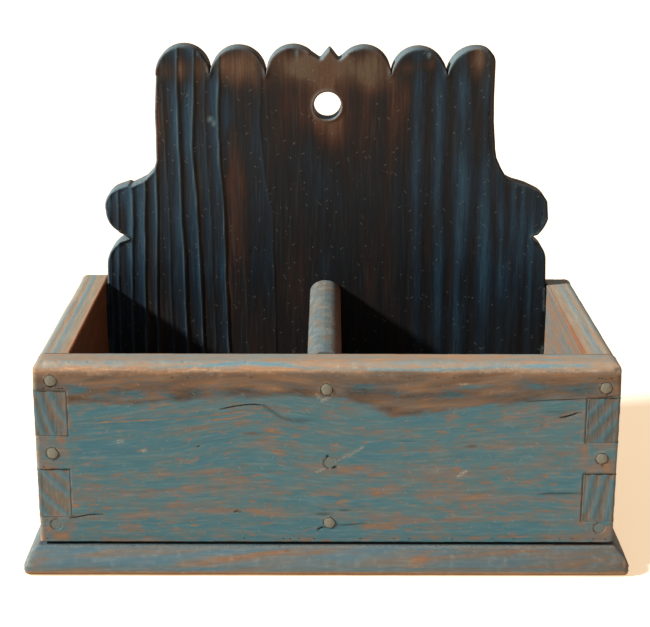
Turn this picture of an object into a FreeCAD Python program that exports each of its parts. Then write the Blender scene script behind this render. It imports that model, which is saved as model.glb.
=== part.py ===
# Antique wall candle box: open-topped two-compartment box with a tall pierced
# and scalloped back board, finger-jointed and pegged, standing on a moulded base.
# Millimetres. X to the right, Y towards the wall, Z up.
# The origin is the centre of the base board's underside.
import FreeCAD, Part
import Sketcher
import math
import os
from FreeCAD import Vector, Placement, Rotation

os.makedirs("parts", exist_ok=True)
doc = FreeCAD.newDocument("CandleBox")

# ---------------------------------------------------------------- sizes
sheet = doc.addObject("Spreadsheet::Sheet", "Sizes")

SIZES = [
    # the box
    ("half_width", 145.0),        # half of the width over the side boards
    ("front_face", -80.0),        # y of the front board's face
    ("back_face", 88.0),          # y of the back board's rear face
    ("rim", 110.7),               # height of the rim at the front
    ("rim_drop_left", 0.3),       # how far the left side's top falls towards the back
    ("rim_drop_right", 2.4),      # the same for the right side
    ("board", 16.8),              # thickness of the side boards
    ("front_board_thick", 17.0),
    ("back_board_thick", 17.0),
    ("front_gap", 1.2),           # shadow gap between front board and base
    ("rim_wear", 6.0),            # worn rounding of the front board's top outer edge
    ("side_wear", 5.0),           # worn rounding of the side boards' top outer edges
    # the base board
    ("base_half", 153.0),
    ("base_front", -88.0),
    ("base_thick", 14.0),
    ("base_bevel_run", 7.4),
    ("base_bevel_drop", 6.2),
    ("base_under", 3.0),
    # heights of the finger joints, left and right
    ("lf_a", 29.2), ("lf_b", 54.8), ("lf_c", 72.7), ("lf_d", 96.3),
    ("rf_a", 27.2), ("rf_b", 52.9), ("rf_c", 69.5), ("rf_d", 93.2),
    # the divider
    ("div_front_x", -1.35), ("div_front_half", 8.75),
    ("div_rear_x", -0.6), ("div_rear_half", 8.9),
    ("div_front_shoulder", 104.7), ("div_front_round", 9.0),
    ("div_rear_shoulder", 104.4), ("div_rear_round", 9.1),
    ("div_front_gap", 0.6),
    # pegs
    ("peg_rad", 2.9), ("peg_in", 28.0), ("peg_proud", 0.6),
    ("base_peg_in", 22.0), ("base_peg_recess", 0.4),
    # front pegs, x and height
    ("flt_x", -135.8), ("flt_z", 101.6),
    ("flm_x", -136.5), ("flm_z", 63.5),
    ("flb_x", -136.3), ("flb_z", 25.2),
    ("frt_x", 137.2), ("frt_z", 98.3),
    ("frm_x", 137.0), ("frm_z", 61.1),
    ("frb_x", 137.6), ("frb_z", 23.6),
    ("fct_x", -0.2), ("fct_z", 97.4),
    ("fcm_x", 1.3), ("fcm_z", 58.8),
    ("fcb_x", 1.4), ("fcb_z", 26.1),
    # back pegs, x and height
    ("blt_x", -136.9), ("blt_z", 84.3),
    ("blb_x", -136.8), ("blb_z", 41.6),
    ("brt_x", 136.6), ("brt_z", 81.6),
    ("brb_x", 136.9), ("brb_z", 39.8),
    ("bct_x", 1.4), ("bct_z", 95.2),
    ("bcm_x", 0.6), ("bcm_z", 60.3),
    ("bcb_x", 1.1), ("bcb_z", 28.4),
    # pegs through the base board, seen from beneath
    ("slf_y", -18.0), ("slr_y", 27.0),
    ("srf_y", -16.0), ("srr_y", 25.0),
    ("sdf_y", -19.0), ("sdr_y", 26.0),
    ("sfl_x", -72.0), ("sfr_x", 70.0),
    ("sbl_x", -69.0), ("sbr_x", 73.0),
    # the hole the box hangs from
    ("hang_x", 0.35), ("hang_z", 212.9), ("hang_rad", 7.9),
]

# the outline of the back board above the rim: corner points, left to right
OUTLINE = [
    (-127.5, 109.8), (-127.3, 121.0), (-121.0, 132.9), (-114.3, 135.8),
    (-120.4, 139.9), (-127.2, 151.8), (-126.1, 160.0), (-120.0, 165.2),
    (-113.6, 167.4), (-111.9, 166.6), (-108.0, 168.4), (-103.8, 170.6),
    (-99.6, 175.2), (-97.3, 181.8), (-97.2, 196.0), (-97.4, 208.0), (-96.2, 229.5),
    (-65.8, 230.9), (-34.3, 230.5), (-9.0, 242.2), (-3.9, 238.7),
    (1.4, 245.2), (6.6, 238.7), (10.6, 241.9), (36.1, 230.6), (67.5, 230.5), (88.5, 245.2), (94.5, 237.0),
    (94.3, 218.0), (94.6, 204.0), (95.9, 188.0), (96.8, 183.2), (99.4, 177.6),
    (103.2, 171.2), (108.0, 168.9), (114.5, 167.0), (121.0, 163.9),
    (126.9, 157.6), (127.6, 149.0), (121.6, 138.3), (117.9, 137.3),
    (122.5, 133.3), (127.3, 124.0), (127.9, 107.5),
]
# the outline's curved edges: number of the edge's first corner, radius
CURVES = {
    2: 15.0, 1: 17.0, 4: 14.0, 5: 12.0, 6: 12.0, 12: 16.0,
    16: 15.25, 17: 15.77, 18: 15.1, 23: 15.2, 24: 15.73, 25: 17.05, 26: 8.6,
    33: 16.0, 36: 13.0, 38: 14.0, 41: 14.0,
}
# edges that curve inwards
HOLLOW = {12, 33}
# curved edges that go round more than half of their circle
TALL = {16}

for number, (x, z) in enumerate(OUTLINE):
    SIZES.append(("edge_x%02d_mm" % number, x))
    SIZES.append(("edge_z%02d_mm" % number, z))
for number, radius in sorted(CURVES.items()):
    SIZES.append(("edge_r%02d_mm" % number, radius))

for row, (alias, value) in enumerate(SIZES, 1):
    sheet.set("A%d" % row, alias)
    sheet.set("B%d" % row, "%g" % value)
    sheet.setAlias("B%d" % row, alias)
doc.recompute()


class Dim:
    """A size: its number now, and the expression over the sheet that gives it."""

    def __init__(self, value, text):
        self.value, self.text = float(value), text

    @staticmethod
    def of(other):
        return other if isinstance(other, Dim) else Dim(other, "%g" % other)

    def __add__(self, other):
        other = Dim.of(other)
        return Dim(self.value + other.value, "(%s + %s)" % (self.text, other.text))

    def __sub__(self, other):
        other = Dim.of(other)
        return Dim(self.value - other.value, "(%s - %s)" % (self.text, other.text))

    def __neg__(self):
        return Dim(-self.value, "(0 - %s)" % self.text)


D = {alias: Dim(sheet.get(alias), "Sizes." + alias) for alias, _ in SIZES}
ZERO = Dim(0, "0")


# ---------------------------------------------------------------- helpers
def new_body(name):
    body = doc.addObject("PartDesign::Body", name)
    body.Label = name
    body.Placement = Placement()
    return body


def new_sketch(body, name, role, offset=None):
    """A sketch on one of the body's own origin planes, moved along its normal."""
    sketch = body.newObject("Sketcher::SketchObject", name)
    plane = [f for f in body.Origin.OriginFeatures if f.Role == role][0]
    sketch.AttachmentSupport = [(plane, "")]
    sketch.MapMode = "FlatFace"
    if offset is not None:
        sketch.AttachmentOffset = Placement(Vector(0, 0, offset.value), Rotation())
        sketch.setExpression(".AttachmentOffset.Base.z", offset.text)
    return sketch


def pin_point(sketch, geo, pos, u, v, label):
    """Fixes a point of the sketch at (u, v), both bound to the sheet."""
    for kind, size, tag in (("DistanceX", u, "u"), ("DistanceY", v, "v")):
        i = sketch.addConstraint(Sketcher.Constraint(kind, -1, 1, geo, pos, size.value))
        name = "%s_%s" % (label, tag)
        sketch.renameConstraint(i, name)
        sketch.setExpression("Constraints." + name, size.text)


def polygon(sketch, points, curves=None, hollow=(), tall=()):
    """Closed outline through points (pairs of Dim), some edges of it arcs."""
    curves = curves or {}
    n = len(points)
    for i in range(n):
        a, b = points[i], points[(i + 1) % n]
        pa, pb = Vector(a[0].value, a[1].value, 0), Vector(b[0].value, b[1].value, 0)
        if i in curves:
            rad = curves[i].value
            chord = pb - pa
            root = math.sqrt(max(rad * rad - chord.Length ** 2 / 4.0, 0.0))
            rise = rad + root if i in tall else rad - root
            side = Vector(-chord.y, chord.x, 0).normalize()
            if i in hollow:
                side = side * -1
            mid = (pa + pb) * 0.5 + side * rise
            arc = Part.Arc(pa, mid, pb) if i in hollow else Part.Arc(pb, mid, pa)
            sketch.addGeometry(arc, False)
        else:
            sketch.addGeometry(Part.LineSegment(pa, pb), False)
    for i in range(n):
        j = (i + 1) % n
        sketch.addConstraint(Sketcher.Constraint(
            "Coincident", i, end_of(sketch, i, points[j]), j, end_of(sketch, j, points[j])))
    for i in range(n):
        pin_point(sketch, i, end_of(sketch, i, points[i]), points[i][0], points[i][1], "p%02d" % i)
    for i in curves:
        k = sketch.addConstraint(Sketcher.Constraint("Radius", i, curves[i].value))
        sketch.renameConstraint(k, "rad%02d" % i)
        sketch.setExpression("Constraints.rad%02d" % i, curves[i].text)


def end_of(sketch, geo, point):
    """1 or 2: which end of the edge lies at the point."""
    edge = sketch.Geometry[geo]
    target = Vector(point[0].value, point[1].value, 0)
    return 1 if (edge.StartPoint - target).Length < (edge.EndPoint - target).Length else 2


def circles(sketch, places, radius):
    for i, (u, v) in enumerate(places):
        sketch.addGeometry(Part.Circle(Vector(u.value, v.value, 0), Vector(0, 0, 1), radius.value), False)
        pin_point(sketch, i, 3, u, v, "c%02d" % i)
        k = sketch.addConstraint(Sketcher.Constraint("Radius", i, radius.value))
        sketch.renameConstraint(k, "hole%02d" % i)
        sketch.setExpression("Constraints.hole%02d" % i, radius.text)


def pad(body, sketch, length, name, reverse=False):
    feature = body.newObject("PartDesign::Pad", name)
    feature.Profile = sketch
    feature.Length = length.value
    feature.setExpression("Length", length.text)
    feature.Reversed = reverse
    doc.recompute()
    return feature


def pocket(body, sketch, length, name, expected):
    """Cuts the sketch into the body. The way it points is the one that takes the
    expected volume away, within a few percent."""
    before = body.Tip.Shape.Volume
    feature = body.newObject("PartDesign::Pocket", name)
    feature.Profile = sketch
    feature.Length = length.value
    feature.setExpression("Length", length.text)
    tried = []
    for reverse in (False, True):
        feature.Reversed = reverse
        doc.recompute()
        lost = before if feature.Shape.isNull() else before - feature.Shape.Volume
        tried.append((abs(lost - expected), reverse, lost))
    miss, reverse, lost = min(tried)
    feature.Reversed = reverse
    doc.recompute()
    if miss > 0.07 * expected:
        raise RuntimeError("%s of %s takes %.1f mm3, expected %.1f" % (name, body.Label, lost, expected))
    return feature


def peg_holes(body, places, plane, offset, length, name):
    sketch = new_sketch(body, name + "Sketch", plane, offset)
    circles(sketch, places, D["peg_rad"])
    each = math.pi * D["peg_rad"].value ** 2 * length.value
    return pocket(body, sketch, length, name, each * len(places))


def edges_where(feature, test):
    found = []
    for i, edge in enumerate(feature.Shape.Edges, 1):
        box = edge.BoundBox
        if test(box, edge):
            found.append("Edge%d" % i)
    if not found:
        raise RuntimeError("no such edge on " + feature.Name)
    return found


def fillet(body, feature, names, radius, name):
    made = body.newObject("PartDesign::Fillet", name)
    made.Base = (feature, names)
    made.Radius = radius.value
    made.setExpression("Radius", radius.text)
    doc.recompute()
    return made


W, TOP, FLOOR = D["half_width"], D["rim"], D["base_thick"]
INSIDE_FRONT = D["front_face"] + D["front_board_thick"]
INSIDE_BACK = D["back_face"] - D["back_board_thick"]
INNER = W - D["board"]
NEAR = 1e-4

# ---------------------------------------------------------------- base board
base = new_body("base_board")
sk = new_sketch(base, "BasePlan", "XY_Plane")
polygon(sk, [(-D["base_half"], D["base_front"]), (D["base_half"], D["base_front"]),
             (D["base_half"], D["back_face"]), (-D["base_half"], D["back_face"])])
feature = pad(base, sk, D["base_thick"], "BaseSlab")


def base_rim(height):
    def test(b, e):
        return b.ZLength < NEAR and abs(b.ZMax - height) < NEAR and b.YMin < D["back_face"].value - 0.5
    return test


chamfer = base.newObject("PartDesign::Chamfer", "UpperBevel")
chamfer.Base = (feature, edges_where(feature, base_rim(D["base_thick"].value)))
chamfer.ChamferType = "Two distances"
chamfer.Size, chamfer.Size2 = D["base_bevel_run"].value, D["base_bevel_drop"].value
chamfer.setExpression("Size", D["base_bevel_run"].text)
chamfer.setExpression("Size2", D["base_bevel_drop"].text)
doc.recompute()
flat = [f for f in chamfer.Shape.Faces if abs(f.BoundBox.ZMin - 14.0) < 1e-3 and f.BoundBox.ZLength < 1e-3][0]
if abs(flat.BoundBox.XMax - (D["base_half"] - D["base_bevel_run"]).value) > 0.05:
    chamfer.FlipDirection = True
    doc.recompute()
under = base.newObject("PartDesign::Chamfer", "UnderEdge")
under.Base = (chamfer, edges_where(chamfer, base_rim(0.0)))
under.Size = D["base_under"].value
under.setExpression("Size", D["base_under"].text)
doc.recompute()
for feature in (chamfer, under):
    if not feature.Shape.isValid():
        raise RuntimeError(feature.Name + " is not sound")

SIDE_PEG = W - Dim(8.4, "8.4")
FRONT_MID = D["front_face"] + Dim(8.5, "8.5")
BACK_MID = D["back_face"] - Dim(8.5, "8.5")
BASE_PEGS = {
    "base_peg_left_front": (-SIDE_PEG, D["slf_y"]),
    "base_peg_left_rear": (-SIDE_PEG, D["slr_y"]),
    "base_peg_right_front": (SIDE_PEG, D["srf_y"]),
    "base_peg_right_rear": (SIDE_PEG, D["srr_y"]),
    "base_peg_divider_front": (Dim(0.0, "0"), D["sdf_y"]),
    "base_peg_divider_rear": (Dim(0.5, "0.5"), D["sdr_y"]),
    "base_peg_front_left": (D["sfl_x"], FRONT_MID),
    "base_peg_front_right": (D["sfr_x"], FRONT_MID),
    "base_peg_back_left": (D["sbl_x"], BACK_MID),
    "base_peg_back_right": (D["sbr_x"], BACK_MID),
}
peg_holes(base, list(BASE_PEGS.values()), "XY_Plane", None, D["base_thick"], "PegHoles")


def into_board(names):
    return [BASE_PEGS[n] for n in names]


# ---------------------------------------------------------------- front board
front = new_body("front_board")
sk = new_sketch(front, "FrontOutline", "XZ_Plane", -D["front_face"])
FOOT = FLOOR + D["front_gap"]
polygon(sk, [
    (-W, FOOT), (W, FOOT), (W, D["rf_a"]), (INNER, D["rf_a"]), (INNER, D["rf_b"]), (W, D["rf_b"]),
    (W, D["rf_c"]), (INNER, D["rf_c"]), (INNER, D["rf_d"]), (W, D["rf_d"]), (W, TOP), (-W, TOP),
    (-W, D["lf_d"]), (-INNER, D["lf_d"]), (-INNER, D["lf_c"]), (-W, D["lf_c"]),
    (-W, D["lf_b"]), (-INNER, D["lf_b"]), (-INNER, D["lf_a"]), (-W, D["lf_a"]),
])
feature = pad(front, sk, D["front_board_thick"], "FrontPlank", reverse=True)
FRONT_PEGS = {
    "front_peg_left_top": (D["flt_x"], D["flt_z"]),
    "front_peg_left_middle": (D["flm_x"], D["flm_z"]),
    "front_peg_left_bottom": (D["flb_x"], D["flb_z"]),
    "front_peg_right_top": (D["frt_x"], D["frt_z"]),
    "front_peg_right_middle": (D["frm_x"], D["frm_z"]),
    "front_peg_right_bottom": (D["frb_x"], D["frb_z"]),
    "front_peg_divider_top": (D["fct_x"], D["fct_z"]),
    "front_peg_divider_middle": (D["fcm_x"], D["fcm_z"]),
    "front_peg_divider_bottom": (D["fcb_x"], D["fcb_z"]),
}
peg_holes(front, list(FRONT_PEGS.values()), "XZ_Plane", -D["front_face"], D["front_board_thick"], "PegHoles")
peg_holes(front, into_board(["base_peg_front_left", "base_peg_front_right"]), "XY_Plane", FOOT,
          D["base_peg_in"] - D["front_gap"], "BasePegHoles")
feature = front.Tip
fillet(front, feature, edges_where(feature, lambda b, e: b.XLength > 280 and abs(b.ZMax - TOP.value) < NEAR
                                   and b.ZLength < NEAR and abs(b.YMin - D["front_face"].value) < NEAR),
       D["rim_wear"], "WornTopEdge")

# ---------------------------------------------------------------- side boards
for side, sign, tag, drop in (("left", -1, "l", D["rim_drop_left"]), ("right", 1, "r", D["rim_drop_right"])):
    board = new_body(side + "_side")
    a, b, c, d = (D[tag + "f_" + k] for k in "abcd")
    rear_top = TOP - drop
    sk = new_sketch(board, "SideOutline", "YZ_Plane", -W if sign < 0 else INNER)
    F, B = D["front_face"], D["back_face"]
    polygon(sk, [
        (INSIDE_FRONT, FLOOR), (B, FLOOR), (B, a), (INSIDE_BACK, a), (INSIDE_BACK, b), (B, b),
        (B, c), (INSIDE_BACK, c), (INSIDE_BACK, d), (B, d), (B, rear_top), (INSIDE_FRONT, TOP),
        (INSIDE_FRONT, d), (F, d), (F, c), (INSIDE_FRONT, c), (INSIDE_FRONT, b), (F, b), (F, a), (INSIDE_FRONT, a),
    ])
    pad(board, sk, D["board"], "SidePlank")
    k = "f" + tag
    peg_holes(board, [(D[k + "t_x"], D[k + "t_z"]), (D[k + "m_x"], D[k + "m_z"]), (D[k + "b_x"], D[k + "b_z"])],
              "XZ_Plane", -INSIDE_FRONT, D["peg_in"], "FrontPegHoles")
    k = "b" + tag
    peg_holes(board, [(D[k + "t_x"], D[k + "t_z"]), (D[k + "b_x"], D[k + "b_z"])],
              "XZ_Plane", -INSIDE_BACK, D["peg_in"], "BackPegHoles")
    peg_holes(board, into_board(["base_peg_%s_front" % side, "base_peg_%s_rear" % side]), "XY_Plane", FLOOR,
              D["base_peg_in"], "BasePegHoles")
    feature = board.Tip
    fillet(board, feature, edges_where(feature, lambda b, e: b.YLength > 100 and b.ZMax > TOP.value - 0.01
                                       and b.XLength < NEAR and abs(abs(b.XMin) - W.value) < NEAR),
           D["side_wear"], "WornTopEdge")

# ---------------------------------------------------------------- divider
divider = new_body("divider")


def divider_section(name, end, offset):
    sketch = new_sketch(divider, name, "XZ_Plane", offset)
    centre, half, shoulder = D["div_%s_x" % end], D["div_%s_half" % end], D["div_%s_shoulder" % end]
    lo, hi = centre - half, centre + half
    polygon(sketch, [(lo, FLOOR), (lo, shoulder), (hi, shoulder), (hi, FLOOR)], {1: D["div_%s_round" % end]})
    return sketch


near_end = divider_section("NearSection", "front", -(INSIDE_FRONT + D["div_front_gap"]))
far_end = divider_section("FarSection", "rear", -INSIDE_BACK)
loft = divider.newObject("PartDesign::AdditiveLoft", "TaperedPlank")
loft.Profile = near_end
loft.Sections = [far_end]
doc.recompute()
peg_holes(divider, [FRONT_PEGS["front_peg_divider_" + p] for p in ("top", "middle", "bottom")], "XZ_Plane",
          -(INSIDE_FRONT + D["div_front_gap"]), D["peg_in"] - D["div_front_gap"], "FrontPegHoles")
BACK_PEGS = {
    "back_peg_left_top": (D["blt_x"], D["blt_z"]),
    "back_peg_left_bottom": (D["blb_x"], D["blb_z"]),
    "back_peg_right_top": (D["brt_x"], D["brt_z"]),
    "back_peg_right_bottom": (D["brb_x"], D["brb_z"]),
    "back_peg_divider_top": (D["bct_x"], D["bct_z"]),
    "back_peg_divider_middle": (D["bcm_x"], D["bcm_z"]),
    "back_peg_divider_bottom": (D["bcb_x"], D["bcb_z"]),
}
peg_holes(divider, [BACK_PEGS["back_peg_divider_" + p] for p in ("top", "middle", "bottom")], "XZ_Plane",
          -INSIDE_BACK, D["peg_in"], "BackPegHoles")
peg_holes(divider, into_board(["base_peg_divider_front", "base_peg_divider_rear"]), "XY_Plane", FLOOR,
          D["base_peg_in"], "BasePegHoles")

# ---------------------------------------------------------------- back board
back = new_body("back_board")
sk = new_sketch(back, "BackOutline", "XZ_Plane", -D["back_face"])
crest = [(D["edge_x%02d_mm" % i], D["edge_z%02d_mm" % i]) for i in range(len(OUTLINE))]
lower = [
    (INNER, D["rf_d"]), (W, D["rf_d"]), (W, D["rf_c"]), (INNER, D["rf_c"]),
    (INNER, D["rf_b"]), (W, D["rf_b"]), (W, D["rf_a"]), (INNER, D["rf_a"]), (INNER, FLOOR), (-INNER, FLOOR),
    (-INNER, D["lf_a"]), (-W, D["lf_a"]), (-W, D["lf_b"]), (-INNER, D["lf_b"]),
    (-INNER, D["lf_c"]), (-W, D["lf_c"]), (-W, D["lf_d"]), (-INNER, D["lf_d"]),
]
polygon(sk, crest + lower, {i: D["edge_r%02d_mm" % i] for i in CURVES}, HOLLOW, TALL)
pad(back, sk, D["back_board_thick"], "BackPlank")
peg_holes(back, list(BACK_PEGS.values()), "XZ_Plane", -D["back_face"], D["back_board_thick"], "PegHoles")
peg_holes(back, into_board(["base_peg_back_left", "base_peg_back_right"]), "XY_Plane", FLOOR,
          D["base_peg_in"], "BasePegHoles")
sk = new_sketch(back, "HangingHoleSketch", "XZ_Plane", -D["back_face"])
circles(sk, [(D["hang_x"], D["hang_z"])], D["hang_rad"])
bore = math.pi * D["hang_rad"].value ** 2 * D["back_board_thick"].value
pocket(back, sk, D["back_board_thick"], "HangingHole", bore)


# ---------------------------------------------------------------- pegs
def peg(name, x, y, z, length, turn):
    """A round whittled peg, as a cylinder from (x, y, z) along its own axis."""
    made = doc.addObject("Part::Cylinder", name)
    made.Label = name
    made.setExpression("Radius", D["peg_rad"].text)
    made.setExpression("Height", length.text)
    made.Placement = Placement(Vector(x.value, y.value, z.value), turn)
    made.setExpression(".Placement.Base.x", x.text)
    made.setExpression(".Placement.Base.y", y.text)
    made.setExpression(".Placement.Base.z", z.text)
    return made


TO_BACK = Rotation(Vector(1, 0, 0), -90)
TO_FRONT = Rotation(Vector(1, 0, 0), 90)
pegs = []
for name, (x, z) in FRONT_PEGS.items():
    pegs.append(peg(name, x, D["front_face"] - D["peg_proud"], z,
                    D["peg_proud"] + D["front_board_thick"] + D["peg_in"], TO_BACK))
for name, (x, z) in BACK_PEGS.items():
    pegs.append(peg(name, x, D["back_face"], z, D["back_board_thick"] + D["peg_in"], TO_FRONT))
for name, (x, y) in BASE_PEGS.items():
    pegs.append(peg(name, x, y, D["base_peg_recess"], D["base_thick"] + D["base_peg_in"] - D["base_peg_recess"], Rotation()))
doc.recompute()

# ---------------------------------------------------------------- checks and export
for thing in doc.Objects:
    bad = [s for s in thing.State if s in ("Invalid", "Error")]
    if bad:
        raise RuntimeError("%s failed: %s" % (thing.Label, bad))

nodes = [base, front, doc.getObject("left_side"), doc.getObject("right_side"), divider, back] + pegs
for node in nodes:
    shape = node.Shape
    if shape.isNull() or not shape.isValid() or len(shape.Solids) != 1:
        raise RuntimeError(node.Label + " has no sound single solid")
for node in nodes:
    node.Shape.exportStep("parts/%s.step" % node.Label)
    box = node.Shape.BoundBox
    print("%-26s %9.1f mm3  x %7.1f %7.1f  y %6.1f %6.1f  z %6.1f %6.1f" % (
        node.Label, node.Shape.Volume, box.XMin, box.XMax, box.YMin, box.YMax, box.ZMin, box.ZMax))
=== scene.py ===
import bpy
import math
import numpy as np
from mathutils import Matrix, Vector
from mathutils.geometry import delaunay_2d_cdt


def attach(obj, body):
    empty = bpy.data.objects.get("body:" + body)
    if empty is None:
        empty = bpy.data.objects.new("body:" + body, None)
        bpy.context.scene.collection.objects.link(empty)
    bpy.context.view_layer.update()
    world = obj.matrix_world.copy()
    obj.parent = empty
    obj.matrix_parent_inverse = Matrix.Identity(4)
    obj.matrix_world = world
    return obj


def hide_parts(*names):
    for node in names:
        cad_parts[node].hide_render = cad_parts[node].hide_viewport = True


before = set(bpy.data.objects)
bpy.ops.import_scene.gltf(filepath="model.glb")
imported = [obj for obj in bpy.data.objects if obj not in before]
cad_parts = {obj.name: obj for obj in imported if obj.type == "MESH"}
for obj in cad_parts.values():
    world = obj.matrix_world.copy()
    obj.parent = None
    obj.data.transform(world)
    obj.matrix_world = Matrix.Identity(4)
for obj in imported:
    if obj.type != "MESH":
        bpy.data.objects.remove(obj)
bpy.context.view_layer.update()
RIM = 110.7          # height of the front rim in mm; many features are given from it


# ------------------------------------------------------------------ noise
def hash01(ix, iy, seed):
    h = (ix.astype(np.int64) * 374761393 + iy.astype(np.int64) * 668265263 + seed * 1442695041) & 0xFFFFFFFF
    h = ((h ^ (h >> 13)) * 1274126177) & 0xFFFFFFFF
    h = ((h ^ (h >> 15)) * 2246822519) & 0xFFFFFFFF
    return ((h ^ (h >> 16)) & 0xFFFFFF) / float(0xFFFFFF)


def vnoise(x, y, seed=0):
    """Smooth value noise, -1 to 1."""
    x, y = np.asarray(x, float), np.asarray(y, float)
    ix, iy = np.floor(x), np.floor(y)
    fx, fy = x - ix, y - iy
    fx, fy = fx * fx * fx * (fx * (fx * 6 - 15) + 10), fy * fy * fy * (fy * (fy * 6 - 15) + 10)
    a, b = hash01(ix, iy, seed), hash01(ix + 1, iy, seed)
    c, d = hash01(ix, iy + 1, seed), hash01(ix + 1, iy + 1, seed)
    return 2 * ((a * (1 - fx) + b * fx) * (1 - fy) + (c * (1 - fx) + d * fx) * fy) - 1


def fbm(x, y, seed=0, octaves=4, gain=0.5):
    total, amp, norm = 0.0, 1.0, 0.0
    for k in range(octaves):
        total = total + amp * vnoise(x * 2 ** k, y * 2 ** k, seed + 17 * k)
        norm += amp
        amp *= gain
    return total / norm


def smooth(a, b, x):
    t = np.clip((x - a) / (b - a), 0, 1)
    return t * t * (3 - 2 * t)


def curve(keys, at):
    """Piecewise-linear value at heights: keys is [(where, value), ...] in any order."""
    keys = sorted(keys)
    return np.interp(at, [k[0] for k in keys], [k[1] for k in keys])


# ------------------------------------------------------------------ outlines
class Outline:
    """A closed contour of sampled points; each sample belongs to a run with its own edge radii."""

    def __init__(self):
        self.pts, self.run, self.radii, self.edge = [], [], [], []

    def add_run(self, pts, rf, rb, edge=0):
        self.radii.append((rf, rb))
        self.edge.append(edge)
        self.pts += [tuple(p) for p in pts]
        self.run += [len(self.radii) - 1] * len(pts)

    def arrays(self):
        return np.array(self.pts, float), np.array(self.run, int)


def contour(corners, edges, ds=1.0, seed=1, wobble=0.06):
    """corners: [(u, v, corner radius)]; edges: one per corner, from it to the next, as dicts with
    rf, rb (rounding at the front and back face), sag (how far an arc bulges outward), ds. Anticlockwise."""
    n = len(corners)
    cut_in, cut_out = [None] * n, [None] * n
    for i in range(n):
        p = np.array(corners[i][:2], float)
        c = corners[i][2] if len(corners[i]) > 2 else 0.0
        a, b = np.array(corners[i - 1][:2], float) - p, np.array(corners[(i + 1) % n][:2], float) - p
        la, lb = np.linalg.norm(a), np.linalg.norm(b)
        if c > 0 and not edges[i - 1].get("sag") and not edges[i].get("sag"):
            half = math.acos(np.clip(a @ b / (la * lb), -1, 1)) / 2
            back = min(c / math.tan(half), 0.45 * la, 0.45 * lb)
            cut_in[i], cut_out[i] = p + a / la * back, p + b / lb * back
        else:
            cut_in[i] = cut_out[i] = p
    out = Outline()

    def span(e, key):
        r = e.get(key, 0.3)
        return r if isinstance(r, tuple) else (r, r)

    for i in range(n):
        e, j = edges[i], (i + 1) % n
        step = e.get("ds", ds)
        pts = []
        f0, f1 = span(e, "rf")
        b0, b1 = span(e, "rb")
        if not np.allclose(cut_in[i], cut_out[i]):
            p = np.array(corners[i][:2], float)
            k = max(3, int(math.ceil(np.linalg.norm(cut_out[i] - cut_in[i]) / min(step, 0.5))))
            for t in np.linspace(0, 1, k, endpoint=False):
                pts.append((1 - t) ** 2 * cut_in[i] + 2 * t * (1 - t) * p + t * t * cut_out[i])
            was = span(edges[i - 1], "rf")[1]
            if abs(was - f0) > 0.8:      # the worn edge grows round the corner
                for q, one in enumerate(pts):
                    t = smooth(0, 1, (q + 0.5) / len(pts))
                    out.add_run([one], was + (f0 - was) * t, b0, i)
                pts = []
        a, b = cut_out[i], cut_in[j]
        chord = b - a
        length = np.linalg.norm(chord)
        right = np.array([chord[1], -chord[0]]) / max(length, 1e-9)
        sag = e.get("sag", 0.0)
        if abs(sag) > 1e-6:
            rad = (length * length / 4 + sag * sag) / (2 * abs(sag))
            ang = 2 * math.asin(min(1.0, length / 2 / rad)) if abs(sag) < rad else 2 * math.pi - 2 * math.asin(length / 2 / rad)
            arc = rad * ang
            k = max(4, int(math.ceil(arc / step)))
            th = np.linspace(-ang / 2, ang / 2, k, endpoint=False)
            mid = (a + b) / 2
            sgn = math.copysign(1, sag)
            centre = mid - sgn * right * (rad - abs(sag))
            direction = chord / length
            for t in th:
                pts.append(centre + rad * (math.sin(t) * direction + sgn * math.cos(t) * right))
        else:
            k = max(1, int(math.ceil(length / step)))
            for t in np.linspace(0, 1, k, endpoint=False):
                pts.append(a + t * chord)
        if f0 != f1 or b0 != b1 or e.get("taper"):
            # the edge's radius changes along it, or shrinks towards its ends
            reach, least, *one_end = e.get("taper", (0.0, 1.0))
            for q, one in enumerate(pts):
                t = (q + 0.5) / len(pts)
                end = (1 - t if one_end else min(t, 1 - t)) * length
                cut = least + (1 - least) * (smooth(0, reach, end) if reach else 1.0)
                out.add_run([one], (f0 + (f1 - f0) * t) * cut, (b0 + (b1 - b0) * t) * cut, i)
        else:
            out.add_run(pts, f0, b0, i)
    if wobble:
        pts, _ = out.arrays()
        seg = np.linalg.norm(np.roll(pts, -1, 0) - pts, axis=1)
        s = np.concatenate([[0], np.cumsum(seg)[:-1]])
        tang = np.roll(pts, -1, 0) - np.roll(pts, 1, 0)
        tang /= np.linalg.norm(tang, axis=1)[:, None] + 1e-9
        nrm = np.stack([-tang[:, 1], tang[:, 0]], 1)
        amp = np.array([edges[out.edge[r]].get("wob", wobble) for r in out.run])
        w = amp * (0.6 * vnoise(s / 9.0, s * 0 + 0.5, seed) + 0.4 * vnoise(s / 3.1, s * 0 + 3.5, seed + 5)) + 1.0 * amp
        total = seg.sum()
        w *= smooth(0, 4, s) * smooth(0, 4, total - s)
        out.pts = [tuple(p) for p in pts + nrm * w[:, None]]
    return out


def round_hole(u, v, rad, rf, rb, seed, n=26, squash=(1.0, 1.0), facets=0.0):
    """A clockwise hole contour, a little out of round."""
    out = Outline()
    th = -np.linspace(0, 2 * math.pi, n, endpoint=False)
    r = rad * (1 + 0.03 * vnoise(np.cos(th) * 1.5 + 7, np.sin(th) * 1.5 + seed, seed)
               + facets * np.cos(7 * th + seed))
    out.add_run(np.stack([u + r * squash[0] * np.cos(th), v + r * squash[1] * np.sin(th)], 1), rf, rb)
    return out


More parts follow.
